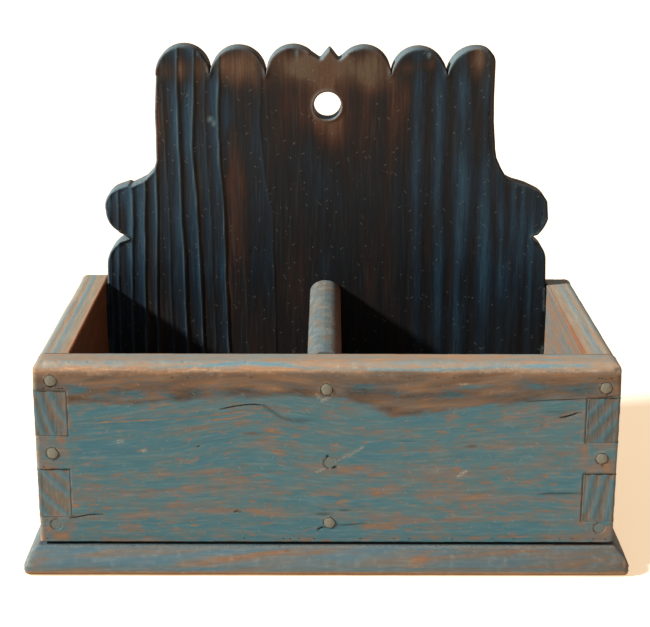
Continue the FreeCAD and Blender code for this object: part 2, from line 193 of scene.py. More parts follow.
def seg_dist(P, A, B):
    """Distance from each point of P to the nearest of the segments A-B, and that segment's number."""
    best = np.full(len(P), 1e9)
    which = np.zeros(len(P), int)
    d = B - A
    dd = (d * d).sum(1) + 1e-12
    for lo in range(0, len(P), 4000):
        p = P[lo:lo + 4000]
        t = np.clip(((p[:, None, :] - A[None]) * d[None]).sum(2) / dd[None], 0, 1)
        q = A[None] + t[..., None] * d[None]
        r = ((p[:, None, :] - q) ** 2).sum(2)
        k = r.argmin(1)
        best[lo:lo + 4000] = np.sqrt(r[np.arange(len(p)), k])
        which[lo:lo + 4000] = k
    return best, which


def inside(P, loops):
    """Even-odd test of points against closed loops."""
    c = np.zeros(len(P), bool)
    for L in loops:
        A, B = L, np.roll(L, -1, 0)
        for lo in range(0, len(P), 8000):
            p = P[lo:lo + 8000]
            y, x = p[:, 1][:, None], p[:, 0][:, None]
            cond = (A[None, :, 1] > y) != (B[None, :, 1] > y)
            with np.errstate(divide="ignore", invalid="ignore"):
                xi = A[None, :, 0] + (y - A[None, :, 1]) * (B[None, :, 0] - A[None, :, 0]) / (B[None, :, 1] - A[None, :, 1])
            c[lo:lo + 8000] ^= ((cond & (x < xi)).sum(1) % 2 == 1)
    return c


def thin_out(P, keep_first, gap):
    """Drops points that come within about gap of an earlier one. The first keep_first always stay."""
    cells, keep = {}, np.ones(len(P), bool)
    key = np.floor(P / gap).astype(int)
    for i in range(len(P)):
        k = (key[i, 0], key[i, 1])
        if i >= keep_first:
            near = False
            for a in (-1, 0, 1):
                for b in (-1, 0, 1):
                    for j in cells.get((k[0] + a, k[1] + b), ()):
                        if (P[i, 0] - P[j, 0]) ** 2 + (P[i, 1] - P[j, 1]) ** 2 < gap * gap:
                            near = True
                            break
                    if near:
                        break
                if near:
                    break
            if near:
                keep[i] = False
                continue
        cells.setdefault(k, []).append(i)
    return keep


def quarter(r, d):
    """How far the surface has dropped at distance d in from an edge rounded to radius r."""
    x = np.clip((r - d) / max(r, 1e-6), 0, 1)
    return r * (1 - np.sqrt(1 - x * x))


# ------------------------------------------------------------------ planks
class Plank:
    """A board as one closed mesh: two relief faces and the walls of every contour between them.
    (u, v) is the board's plane and w the depth from its first face; place() maps them to the row frame in mm."""

    def __init__(self, name, outer, holes, thick, place, front, back, wall=None, profile_f=None, profile_b=None,
                 blend=4.0, wall_step=1.3, deepest=0.49):
        self.name, self.thick, self.place = name, thick, place
        self.loops = [outer] + list(holes)
        self.profile = {"f": profile_f or (lambda r, d: quarter(r, d)), "b": profile_b or (lambda r, d: quarter(r, d))}
        self.blend, self.deepest = blend, deepest
        self.front, self.back, self.wall, self.wall_step = front, back, wall, wall_step
        self.build()

    def runs(self, which):
        """[(A, B, radius)] for each run of each contour; self.groups names the contour and edge of each."""
        made, self.groups = [], []
        for L in self.loops:
            pts, run = L.arrays()
            nxt = np.roll(pts, -1, 0)
            for r, (rf, rb) in enumerate(L.radii):
                m = run == r
                if m.any():
                    made.append((pts[m], nxt[m], rf if which == "f" else rb))
                    self.groups.append((id(L), L.edge[r]))
        return made

    def drops(self, P, which):
        """Depth of the worn edge at each point, and distance to the nearest edge, its outward normal and radius."""
        runs = self.runs(which)
        if len(P) == 0:
            return np.zeros(0), np.zeros(0), np.zeros((0, 2)), np.zeros(0)
        total = np.zeros(len(P))
        near = np.full(len(P), 1e9)
        normal = np.zeros((len(P), 2))
        rad = np.zeros(len(P))
        q = self.blend
        groups, now, most = list(self.groups), None, None
        for (A, B, r), group in zip(runs, groups):
            if group != now:
                if most is not None:
                    total += most ** q
                now, most = group, np.zeros(len(P))
            lo, hi = np.minimum(A.min(0), B.min(0)) - 12, np.maximum(A.max(0), B.max(0)) + 12
            m = ((P >= lo) & (P <= hi)).all(1)
            if not m.any():
                continue
            idx = np.where(m)[0]
            d, k = seg_dist(P[idx], A, B)
            dr = self.profile[which](r, d)
            most[idx] = np.maximum(most[idx], np.maximum(dr, 0))
            closer = d < near[idx]
            ci = idx[closer]
            near[ci] = d[closer]
            t = (B - A)[k[closer]]
            t = t / (np.linalg.norm(t, axis=1)[:, None] + 1e-12)
            normal[ci] = np.stack([t[:, 1], -t[:, 0]], 1)
            rad[ci] = r
        if most is not None:
            total += most ** q
        return total ** (1 / q), near, normal, rad

    def face(self, which, spec):
        du, dv = spec["grid"]
        feats = spec.get("features", [])
        loops = [L.arrays()[0] for L in self.loops]
        runs = self.runs(which)
        edge_pts = np.concatenate(loops)
        n_edge = len(edge_pts)
        cons, at = [], 0
        for L in loops:
            cons += [(at + i, at + (i + 1) % len(L)) for i in range(len(L))]
            at += len(L)
        # rings along the worn edges
        rings = []
        for L in self.loops:
            pts, run = L.arrays()
            t = np.roll(pts, -1, 0) - np.roll(pts, 1, 0)
            t /= np.linalg.norm(t, axis=1)[:, None] + 1e-9
            nin = np.stack([-t[:, 1], t[:, 0]], 1)
            r = np.array([L.radii[k][0 if which == "f" else 1] for k in run])
            for f in spec.get("rings", (0.06, 0.2, 0.42, 0.7, 1.0)):
                take = np.ones(len(pts), bool)
                take &= r * f > 0.07
                rings.append((pts + nin * (r * f)[:, None])[take])
            far = pts + nin * (r + 0.9)[:, None]
            rings.append(far)
        rings = np.concatenate(rings)
        d_all, _ = seg_dist(rings, np.concatenate([a for a, b, r in runs]), np.concatenate([b for a, b, r in runs]))
        ok = inside(rings, loops) & (d_all > 0.06)
        rings = rings[ok]
        # the regular grid
        lo, hi = edge_pts.min(0), edge_pts.max(0)
        nu, nv = int((hi[0] - lo[0]) / du), int((hi[1] - lo[1]) / dv)
        gu = lo[0] + (hi[0] - lo[0]) * (np.arange(nu + 1)) / nu
        gv = lo[1] + (hi[1] - lo[1]) * (np.arange(nv + 1)) / nv
        G = np.stack(np.meshgrid(gu, gv, indexing="ij"), -1)
        flat = G.reshape(-1, 2)
        free = inside(flat, loops)
        clear = free.copy()
        for A, B, r in runs:
            l2, h2 = np.minimum(A.min(0), B.min(0)) - r - 3, np.maximum(A.max(0), B.max(0)) + r + 3
            m = ((flat >= l2) & (flat <= h2)).all(1) & clear
            idx = np.where(m)[0]
            if len(idx):
                d, _ = seg_dist(flat[idx], A, B)
                clear[idx[d < r + 1.3]] = False
        feat_pts = []
        for f in feats:
            line = np.array(f["line"], float)
            A, B = line[:-1], line[1:]
            l2, h2 = line.min(0) - 4, line.max(0) + 4
            m = ((flat >= l2) & (flat <= h2)).all(1)
            idx = np.where(m)[0]
            if len(idx):
                d, _ = seg_dist(flat[idx], A, B)
                clear[idx[d < f.get("reach", 1.2)]] = False
            seg = np.linalg.norm(B - A, axis=1)
            s = np.concatenate([[0], np.cumsum(seg)])
            k = max(2, int(s[-1] / f.get("ds", 0.8)))
            at_s = np.linspace(0, s[-1], k)
            c = np.stack([np.interp(at_s, s, line[:, 0]), np.interp(at_s, s, line[:, 1])], 1)
            t = np.gradient(c, axis=0)
            t /= np.linalg.norm(t, axis=1)[:, None] + 1e-9
            nrm = np.stack([-t[:, 1], t[:, 0]], 1)
            wid = f.get("width", 0.5)
            for off in (0, -0.5, 0.5, -1.0, 1.0, -1.7, 1.7):
                feat_pts.append(c + nrm * off * wid)
        clear = clear.reshape(nu + 1, nv + 1)
        cell = clear[:-1, :-1] & clear[1:, :-1] & clear[:-1, 1:] & clear[1:, 1:]
        used = np.zeros_like(clear)
        used[:-1, :-1] |= cell; used[1:, :-1] |= cell; used[:-1, 1:] |= cell; used[1:, 1:] |= cell
        # nodes of cells, and loose ones between the cells and the edge
        node_ids = -np.ones(clear.shape, int)
        padded = np.pad(cell, 1)
        full = padded[:-1, :-1] & padded[1:, :-1] & padded[:-1, 1:] & padded[1:, 1:]
        rim_nodes = used & ~full
        deep_nodes = used & full
        loose = (~used) & free.reshape(clear.shape)
        band = [edge_pts]
        if feat_pts:
            fp = np.concatenate(feat_pts)
            fp = fp[inside(fp, loops)]
            dd, _ = seg_dist(fp, np.concatenate([a for a, b, r in runs]), np.concatenate([b for a, b, r in runs]))
            band.append(fp[dd > 0.25])
        rim_xy = G[rim_nodes]
        band.insert(1, rim_xy)
        band.append(rings)
        loose_xy = G[loose]
        if len(loose_xy):
            dd, kk = seg_dist(loose_xy, np.concatenate([a for a, b, r in runs]), np.concatenate([b for a, b, r in runs]))
            loose_xy = loose_xy[dd > 0.5]
        band.append(loose_xy)
        B2 = np.concatenate(band)
        fixed = n_edge + len(rim_xy)
        keep = thin_out(B2, fixed, spec.get("gap", 0.22))
        B2 = B2[keep]
        cut = cons
        res = delaunay_2d_cdt([Vector(p) for p in B2], cut, [], 0, 1e-7)
        ov, tris, orig = np.array([tuple(p) for p in res[0]]), res[2], res[3]
        back_to = np.array([o[0] if o else -1 for o in orig])
        T = np.array([f for f in tris if len(f) == 3], int)
        if (back_to < 0).any():
            extra = np.where(back_to < 0)[0]
            for e in extra:
                back_to[e] = len(B2)
                B2 = np.concatenate([B2, ov[e][None]])
        T = back_to[T]
        cen = B2[T].mean(1)
        good = inside(cen, loops)
        ci = np.floor((cen[:, 0] - lo[0]) / (hi[0] - lo[0]) * nu).astype(int).clip(0, nu - 1)
        cj = np.floor((cen[:, 1] - lo[1]) / (hi[1] - lo[1]) * nv).astype(int).clip(0, nv - 1)
        good &= ~cell[ci, cj]
        T = T[good]
        a, b, c = B2[T[:, 0]], B2[T[:, 1]], B2[T[:, 2]]
        area = (b[:, 0] - a[:, 0]) * (c[:, 1] - a[:, 1]) - (b[:, 1] - a[:, 1]) * (c[:, 0] - a[:, 0])
        T[area < 0] = T[area < 0][:, ::-1]
        # assemble: band points first (edge points keep their order), then deep nodes
        rim_index = np.argwhere(rim_nodes)
        for k, (i, j) in enumerate(rim_index):
            node_ids[i, j] = n_edge + k
        deep_index = np.argwhere(deep_nodes)
        for k, (i, j) in enumerate(deep_index):
            node_ids[i, j] = len(B2) + k
        P = np.concatenate([B2, G[deep_nodes]]) if len(deep_index) else B2
        ii, jj = np.where(cell)
        Q = np.stack([node_ids[ii, jj], node_ids[ii + 1, jj], node_ids[ii + 1, jj + 1], node_ids[ii, jj + 1]], 1)
        return P, T, Q, n_edge

    def build(self):
        out_v, faces, uv = [], [], []
        info = {}
        base = 0
        edge_ids = {}
        for which, spec in (("f", self.front), ("b", self.back)):
            P, T, Q, n_edge = self.face(which, spec)
            drop, near, normal, rad = self.drops(P, which)
            # the contour's own points sit exactly at the bottom of their rounding
            rel = spec["relief"](P[:, 0], P[:, 1], near) if spec.get("relief") else np.zeros(len(P))
            for f in spec.get("features", []):
                line = np.array(f["line"], float)
                idx = np.where(((P >= line.min(0) - 3) & (P <= line.max(0) + 3)).all(1))[0]
                if not len(idx):
                    continue
                d, k = seg_dist(P[idx], line[:-1], line[1:])
                ends = np.minimum(np.linalg.norm(P[idx] - line[0], axis=1), np.linalg.norm(P[idx] - line[-1], axis=1))
                fade = smooth(0, f.get("fade", 3.0), ends)
                rel[idx] += f["depth"] * fade * (1 - smooth(0.15 * f["width"], f["width"] * 1.05, d))
            w = np.minimum(drop + np.maximum(rel, 0), self.thick * (self.deepest if which == "f" else 0.49 if self.deepest < 0.5 else 0.3))
            if which == "b":
                w = self.thick - w
            info[which] = dict(P=P, w=w, near=near, normal=normal, rad=rad, T=T, Q=Q, base=base, n_edge=n_edge, rel=rel)
            out_v.append(np.column_stack([P, w]))
            base += len(P)
        self.region = [np.full(len(info["f"]["P"]), 0), np.full(len(info["b"]["P"]), 1)]
        self.near = [info["f"]["near"], info["b"]["near"]]
        self.relief = [info["f"]["rel"], info["b"]["rel"]]
        # faces
        fl, face_uv, islands = [], [], []

        def unrolled(i):
            P, near, normal, rad = i["P"], i["near"], i["normal"], i["rad"]
            r = np.maximum(rad, 1e-6)
            x = np.clip((r - near) / r, 0, 1)
            push = np.where(rad > 2, r * (np.arcsin(x) - x), 0)
            return P + normal * push[:, None]

        polys, poly_island, poly_uv = [], [], []
        for k, which in enumerate(("f", "b")):
            i = info[which]
            U = unrolled(i)
            for block in (i["T"], i["Q"]):
                if not len(block):
                    continue
                idx = block if which == "b" else block[:, ::-1]
                uvs = U[idx]
                polys.append(idx + i["base"])
                poly_uv.append(uvs)
                poly_island.append(np.full(len(idx), k))
        # walls
        off_f = 0
        island = 2
        wall_region, wall_near = [], []
        for L in self.loops:
            pts, run = L.arrays()
            n = len(pts)
            f0, b0 = info["f"]["base"] + off_f, info["b"]["base"] + off_f
            wf, wb = info["f"]["w"][off_f:off_f + n], info["b"]["w"][off_f:off_f + n]
            off_f += n
            t = np.roll(pts, -1, 0) - np.roll(pts, 1, 0)
            t /= np.linalg.norm(t, axis=1)[:, None] + 1e-9
            nin = np.stack([-t[:, 1], t[:, 0]], 1)
            rows = max(1, int(round((wb - wf).mean() / self.wall_step)))
            ids = [np.arange(n) + f0]
            for k in range(1, rows):
                q = k / rows
                w = wf + (wb - wf) * q
                P3 = np.column_stack([pts, w])
                amt = self.wall(P3, nin, np.array(L.edge)[run], q, L) if self.wall else np.zeros(n)
                win = min(1.0, min(q, 1 - q) * rows / 1.5) ** 0.5
                P3[:, :2] += nin * (amt * win)[:, None]
                out_v.append(P3)
                ids.append(np.arange(n) + base)
                base += n
                wall_region.append(np.full(n, 2))
                wall_near.append(np.minimum(w - wf, wb - w))
            ids.append(np.arange(n) + b0)
            seg = np.linalg.norm(np.roll(pts, -1, 0) - pts, axis=1)
            s = np.concatenate([[0], np.cumsum(seg)])
            span = max(self.span, 60.0) if hasattr(self, "span") else 300.0
            chunk = np.minimum((s[:-1] / span).astype(int), int(s[-1] / span))
            allw = [wf + (wb - wf) * k / rows for k in range(rows + 1)]
            for k in range(rows):
                a, b = ids[k], ids[k + 1]
                quad = np.stack([a, np.roll(a, -1), np.roll(b, -1), b], 1)
                # the solid is on the left of the walk, so this turns the wall's normal outward
                s0, s1 = s[:-1], s[1:]
                wa, wb_ = allw[k], allw[k + 1]
                q = np.stack([
                    np.stack([s0, wa], 1), np.stack([s1, np.roll(wa, -1)], 1),
                    np.stack([s1, np.roll(wb_, -1)], 1), np.stack([s0, wb_], 1)], 1)
                q[:, :, 0] -= (chunk * span)[:, None]
                polys.append(quad)
                poly_uv.append(q)
                poly_island.append(island + chunk)
            island += chunk.max() + 1
        V = np.concatenate(out_v)
        self.region = np.concatenate(self.region + wall_region) if wall_region else np.concatenate(self.region)
        self.near = np.concatenate(self.near + wall_near) if wall_near else np.concatenate(self.near)
        rel = np.concatenate(self.relief)
        self.relief = np.concatenate([rel, np.zeros(len(V) - len(rel))])
        self.uvw = V
        W = self.place(V)
        # is the mapping right-handed?
        e = self.place(np.array([[0, 0, 0], [1, 0, 0], [0, 1, 0], [0, 0, 1]], float))
        hand = np.linalg.det(np.stack([e[1] - e[0], e[2] - e[0], e[3] - e[0]]))
        lists, uv_lists, isl = [], [], []
        for P, q, k in zip(polys, poly_uv, poly_island):
            if hand < 0:
                P, q = P[:, ::-1], q[:, ::-1]
            lists.append(P)
            uv_lists.append(q)
            isl.append(k)
        self.world = W
        mesh = bpy.data.meshes.new(self.name)
        loops = np.concatenate([p.ravel() for p in lists]).astype(np.int32)
        sizes = np.concatenate([np.full(len(p), p.shape[1]) for p in lists]).astype(np.int32)
        starts = np.concatenate([[0], np.cumsum(sizes)[:-1]]).astype(np.int32)
        mesh.vertices.add(len(W))
        mesh.vertices.foreach_set("co", (W * 0.001).astype(np.float32).ravel())
        mesh.loops.add(len(loops))
        mesh.loops.foreach_set("vertex_index", loops)
        mesh.polygons.add(len(sizes))
        mesh.polygons.foreach_set("loop_start", starts)
        mesh.polygons.foreach_set("loop_total", sizes)
        mesh.update(calc_edges=True)
        mesh.polygons.foreach_set("use_smooth", np.ones(len(sizes), bool))
        # the map for baking: every island laid out without overlap
        allk = np.concatenate(isl)
        uvs = np.concatenate([q.reshape(-1, 2) for q in uv_lists])
        per_loop = np.repeat(allk, sizes)
        packed = pack_islands(uvs, per_loop)
        layer = mesh.uv_layers.new(name="OFBake")
        layer.data.foreach_set("uv", packed.astype(np.float32).ravel())
        self.obj = bpy.data.objects.new(self.name, mesh)
        bpy.context.scene.collection.objects.link(self.obj)

    def attribute(self, name, values):
        a = self.obj.data.attributes.new(name, "FLOAT", "POINT")
        a.data.foreach_set("value", np.asarray(values, np.float32))

    def vector(self, name, values):
        a = self.obj.data.attributes.new(name, "FLOAT_VECTOR", "POINT")
        a.data.foreach_set("vector", np.asarray(values, np.float32).ravel())


def pack_islands(uv, island):
    """Shelf packing of the islands, in mm, into the unit square."""
    names = np.unique(island)
    boxes = []
    for k in names:
        m = island == k
        lo, hi = uv[m].min(0), uv[m].max(0)
        boxes.append((k, lo, hi - lo))
    order = sorted(boxes, key=lambda b: -b[2][1])
    pad, best = 2.0, None
    for width in np.linspace(max(b[2][0] for b in boxes) + 2 * pad, sum(b[2][0] for b in boxes) + 40, 60):
        x = y = row = 0.0
        where = {}
        for k, lo, size in order:
            if x + size[0] + pad > width:
                x, y, row = 0.0, y + row, 0.0
            where[k] = (x + pad, y + pad)
            x += size[0] + pad
            row = max(row, size[1] + pad)
        side = max(width + pad, y + row + pad)
        if best is None or side < best[0]:
            best = (side, dict(where))
    side, where = best
    out = np.zeros_like(uv)
    for k, lo, size in boxes:
        m = island == k
        out[m] = (uv[m] - lo + np.array(where[k])) / side
    return np.clip(out, 0, 1)


def ellipses(u, v, spots):
    """Sum of soft elongated spots: (u, v, half length, half height, strength[, tilt])."""
    total = np.zeros(np.shape(u))
    for s in spots:
        du, dv = u - s[0], v - s[1]
        if len(s) > 5:
            c, n = math.cos(s[5]), math.sin(s[5])
            du, dv = c * du + n * dv, -n * du + c * dv
        d = (du / s[2]) ** 2 + (dv / s[3]) ** 2
        total = np.maximum(total, s[4] * np.exp(-0.9 * d ** 1.5)) if s[4] > 0 else total + s[4] * np.exp(-0.9 * d ** 1.5)
    return total


def line_near(u, v, line):
    P = np.stack([np.ravel(u), np.ravel(v)], 1)
    L = np.array(line, float)
    return seg_dist(P, L[:-1], L[1:])[0].reshape(np.shape(u))


# ------------------------------------------------------------------ the boards
def rim(z):
    """Heights read from the rim, as heights from the floor."""
    return z + RIM


def xz(line):
    return [(a, rim(b)) for a, b in line]


def flow_front(x, z):
    """How far the front board's grain has risen at x, for z measured from the rim."""
    arch = 7.0 * np.exp(-((x + 38) / 34.0) ** 2) * smooth(-95, -22, z)
    rise = 0.085 * np.clip(x - 25, 0, 120) * smooth(-75, -20, z)
    left = 2.2 * smooth(-130, -90, x) * smooth(-90, -30, z)
    return arch + rise + left + 0.8 * vnoise(x / 45.0, z / 22.0, 11)


# --- front board
OUT = dict(rf=1.5, rb=0.3, wob=0.22)
WORN_UP = dict(rf=(1.5, 2.6), rb=0.3, wob=0.2, ds=0.9)
WORN_DOWN = dict(rf=(2.6, 1.5), rb=0.3, wob=0.2, ds=0.9)
NOTCH = dict(rf=0.10, rb=0.10, ds=0.8, wob=0.02)
SEAMS = [  # where the corner joints show as dark lines: (x, z from the rim), how dark
    ([(-128.2, -21), (-128.2, -38)], 0.85), ([(-132, -38), (-128.2, -38)], 0.7), ([(-138, -55.9), (-128.2, -55.9)], 0.8),
    ([(-128.2, -55.9), (-128.2, -81.5)], 0.8), ([(128.2, -17.5), (128.2, -41.2)], 0.7), ([(128.2, -57.8), (144, -57.8)], 0.65),
    ([(128.2, -57.8), (128.2, -83.5)], 0.75), ([(130, -83.5), (137, -83.5)], 0.35), ([(-143, -81.5), (-136, -81.5)], 0.3)]


def seams(x, z, lo, hi):
    """How dark the open joints make the wood near them: full within lo, none from hi."""
    dark = np.zeros(len(x))
    for k, (keys, much) in enumerate(SEAMS):
        d = line_near(x, z, keys)
        dark = np.maximum(dark, (1 - smooth(lo, hi, d)) * much * (0.75 + 0.45 * vnoise((x + z) / 3.2, x * 0 + k, 240)))
    return dark
front_outer = contour(
    [(-145, 15.2, 1.2), (145, 15.2, 1.2),
     (145, 27.2, 0.3), (128.2, 27.2, 0.3), (128.2, 52.9, 0.3), (145, 52.9, 0.3),
     (145, 69.5, 0.3), (128.2, 69.5, 0.3), (128.2, 93.2, 0.3), (145, 93.2, 0.3),
     (145, 110.7, 5.2), (-145, 110.7, 5.2),
     (-145, 96.3, 0.3), (-128.2, 96.3, 0.3), (-128.2, 72.7, 0.3), (-145, 72.7, 0.3),
     (-145, 54.8, 0.3), (-128.2, 54.8, 0.3), (-128.2, 29.2, 0.3), (-145, 29.2, 0.3)],
    [dict(rf=0.9, rb=0.3, ds=1.3, wob=0.12), OUT, NOTCH, NOTCH, NOTCH, OUT, NOTCH, NOTCH, NOTCH, WORN_UP,
     dict(rf=6.0, rb=1.1, ds=1.3, wob=0.10), WORN_DOWN, NOTCH, NOTCH, NOTCH, OUT, NOTCH, NOTCH, NOTCH, OUT],
    seed=3)
FRONT_PEGS = {
    "front_peg_left_top": (-135.8, 101.6), "front_peg_left_middle": (-136.5, 63.5), "front_peg_left_bottom": (-136.3, 25.2),
    "front_peg_right_top": (137.2, 98.3), "front_peg_right_middle": (137.0, 61.1), "front_peg_right_bottom": (137.6, 23.6),
    "front_peg_divider_top": (-0.2, 97.4), "front_peg_divider_middle": (1.3, 58.8), "front_peg_divider_bottom": (1.4, 26.1)}
FLUSH = ("front_peg_divider_middle", "front_peg_left_bottom", "front_peg_right_bottom")     # heads nearly lost in the paint
front_holes = [round_hole(x, z, 2.90 if name in FLUSH else 2.93, 0.06 if name in FLUSH else 0.22, 0.2, 20 + k, n=36 if name in FLUSH else 26, facets=0.0 if name in FLUSH else 0.01)
               for k, (name, (x, z)) in enumerate(FRONT_PEGS.items())]

FRONT_CRACKS = [
    dict(line=xz([(-53, -23.8), (-49, -23.0), (-45, -22.2), (-41, -21.6), (-37, -21.3), (-31, -21.6)]), width=0.42, depth=1.0, fade=5),
    dict(line=xz([(-31, -21.6), (-27, -24.5), (-22, -28.2), (-16, -29.4), (-10, -29.7)]), width=0.3, depth=0.12, fade=5),
    dict(line=xz([(-129.5, -82.2), (-126, -81.8), (-120, -80.6), (-113, -80.1)]), width=0.4, depth=0.9, fade=4),
    dict(line=xz([(98, -19.9), (106, -18.9), (115, -18.6), (127, -18.0)]), width=0.32, depth=0.5, fade=4),
    dict(line=xz([(115.4, -27.9), (118, -27.6), (121.5, -26.6), (124.5, -25.2)]), width=0.5, depth=1.0, fade=3),
    dict(line=xz([(106, -68.9), (114, -68.5), (121, -68.3), (128, -68.7)]), width=0.28, depth=0.4, fade=4),
    dict(line=xz([(8, -86.1), (14, -85.4), (20, -85.0)]), width=0.3, depth=0.35, fade=3),
    dict(line=xz([(-5, -57), (6, -51), (18, -43.5)]), width=0.25, depth=0.12, fade=4),
    dict(line=xz([(-4.5, -88.2), (-2.4, -87.4), (-1.2, -87.2)]), width=0.6, depth=1.0, fade=1.5),
    dict(line=xz([(0.3, -48.3), (0.25, -51.0), (0.35, -54.8)]), width=0.75, depth=1.9, fade=1.2),
    dict(line=xz([(2.9, -54.4), (4.3, -54.5)]), width=0.9, depth=1.4, fade=0.8),
    dict(line=xz([(-137, -84.9), (-135.2, -84.8)]), width=0.8, depth=0.9, fade=0.7),
    dict(line=xz([(-136.6, -12.1), (-135.4, -12.1)]), width=0.7, depth=0.8, fade=0.6),
    dict(line=xz([(-64.3, -43.6), (-63.6, -43.4)]), width=0.5, depth=0.5, fade=0.4),
    dict(line=xz([(-46.5, -78.6), (-45, -78.4), (-43.5, -78.7)]), width=0.6, depth=0.5, fade=1.2),
    dict(line=xz([(133.2, -16.9), (136, -17.3), (139, -16.8), (142, -17.1)]), width=0.35, depth=0.5, fade=2),
]


def front_relief(u, v, near):
    z = v - RIM
    across = z - flow_front(u, z)
    rel = 0.10 + 0.09 * fbm(u / 40.0, across / 1.7, 31, 3) + 0.05 * fbm(u / 15.0, across / 0.8, 33, 2)
    rel += 0.10 * (0.5 + 0.5 * vnoise(u / 60.0, z / 30.0, 35))
    # softer wood worn away between the hard lines
    lines = np.abs(np.sin(across * 0.42 + 1.1 * vnoise(u / 70.0, across / 9.0, 36)))
    rel += 0.12 * lines ** 3
    # rubbed hollow on the top edge and small knocks
    rel += 0.25 * np.clip(fbm(u / 3.0, z / 2.2, 37, 2) - 0.42, 0, 1) * smooth(-14, 0, z) * 3
    rel += 0.45 * ellipses(u, z, [(120, -25.6, 5.5, 1.6, 1, 0.25), (142.3, -3.2, 1.6, 0.9, 1), (-122, -53, 3, 1.4, 0.6),
                                  (108, -31, 1.2, 3.2, 0.7), (-5, -80, 4, 1.0, 0.7), (9, -78, 3, 0.9, 0.5)])
    # the pressed rings round the middle pegs
    rel += 0.35 * ellipses(u, z, [(1.3, RIM * 0 - 13.4, 4.6, 4.4, 1), (1.4, -84.6, 4.0, 3.8, 1), (1.5, -53, 3.0, 1.4, 1)])
    level = np.max([np.exp(-(np.hypot(u - FRONT_PEGS[k][0], v - FRONT_PEGS[k][1]) / 5.5) ** 4) for k in FLUSH], axis=0)
    return rel * np.maximum(smooth(0.0, 1.4, near), level * smooth(0.0, 0.25, near + 0.1))


def front_wall(P, nin, run, q, L):
    u, v, w = P.T
    amt = np.zeros(len(P))
    if L is front_outer:
        top = run == 10
        amt = np.where(top, 0.10 + 0.09 * fbm(u / 22.0, w / 1.3, 41, 3), amt)
        ends = np.isin(run, [1, 5, 9, 11, 15, 19])
        amt = np.where(ends, 0.15 + 0.16 * fbm(v / 5.0, w / 1.4, 43, 3), amt)
        amt = np.where(run == 0, 0.06 + 0.05 * fbm(u / 20.0, w / 1.2, 44, 2), amt)
    return amt


front_board = Plank(
    "worn_front_board", front_outer, front_holes, 17.0, lambda P: np.stack([P[:, 0], -80 + P[:, 2], P[:, 1]], 1),
    dict(grid=(1.55, 0.46), relief=front_relief, features=FRONT_CRACKS),
    dict(grid=(2.6, 1.1), relief=lambda u, v, near: (0.06 + 0.06 * fbm(u / 40.0, v / 2.0, 51, 3)) * smooth(0, 1.5, near)),
    wall=front_wall, wall_step=0.9)


# --- side boards
def side_outline(fingers, top_front, top_rear, gaps, seed):
    (a, b), (c, d) = fingers
    tip = dict(rf=1.4, rb=0.12, ds=0.7, wob=0.02)
    gap = dict(rf=0.3, rb=0.15, ds=0.9, wob=0.05)
    g, (ga, gb, gc, gd) = 0.16, gaps     # the joints have opened by this much
    corners = [(-63, 14, 0.3), (87.9, 14, 0.6),
               (87.9, a - g, 0.4), (71, a - g, 0.2), (71, b + g, 0.2), (87.9, b + g, 0.4),
               (87.9, c - g, 0.4), (71, c - g, 0.2), (71, d + g, 0.2), (87.9, d + g, 0.4),
               (87.9, top_rear, 2.2), (-62.9, top_front, 0.4),
               (-63, d - gd, 0.1), (-79.9, d - gd, 0.15), (-79.9, c + gc, 0.15), (-63, c + gc, 0.1),
               (-63, b - gb, 0.1), (-79.9, b - gb, 0.25), (-79.9, a + ga, 0.15), (-63, a + ga, 0.1)]
    end = dict(rf=0.9, rb=0.5, ds=0.9, wob=0.12)
    edges = [dict(rf=0.4, rb=0.2, ds=1.4), end, gap, gap, gap, end, gap, gap, gap, end,
             dict(rf=5.0, rb=1.0, ds=1.2, wob=0.12), gap, gap, tip, gap, gap, gap, tip, gap, gap]
    return contour(corners, edges, seed=seed)


LEFT_TIP_RIDGES = [  # (x, z from the rim) of the hard lines standing proud on the sawn ends
    [(-142.5, -15), (-141, -18), (-139, -27), (-135, -38)], [(-137, -14), (-135, -18), (-132.5, -25), (-129, -31)],
    [(-144, -24), (-142, -33), (-140.5, -38)],
    [(-143.5, -55.8), (-142, -57), (-136, -63), (-129, -70)], [(-144.2, -67.5), (-143, -69), (-137, -75), (-131, -80.5)],
    [(-135, -56), (-132, -58.5), (-129, -61)], [(-144.5, -76), (-142, -79), (-140, -81.5)]]
RIGHT_TIP_RIDGES = [
    [(129.5, -27), (131, -25), (136, -19)], [(131, -36), (133, -33), (143, -21)], [(134, -41), (137, -39), (143, -30)],
    [(130, -78), (131.5, -66), (133, -58)], [(134, -81), (136, -72), (138, -62), (139, -58)], [(141, -82), (142, -74), (143.4, -62)]]


def tip_height(x, z, ridges):
    """0 on a hard line, 1 in the soft wood between."""
    d = np.full(np.shape(x), 99.0)
    for r in ridges:
        d = np.minimum(d, line_near(x, z, r))
    return 1 - np.exp(-(d / 1.35) ** 2)


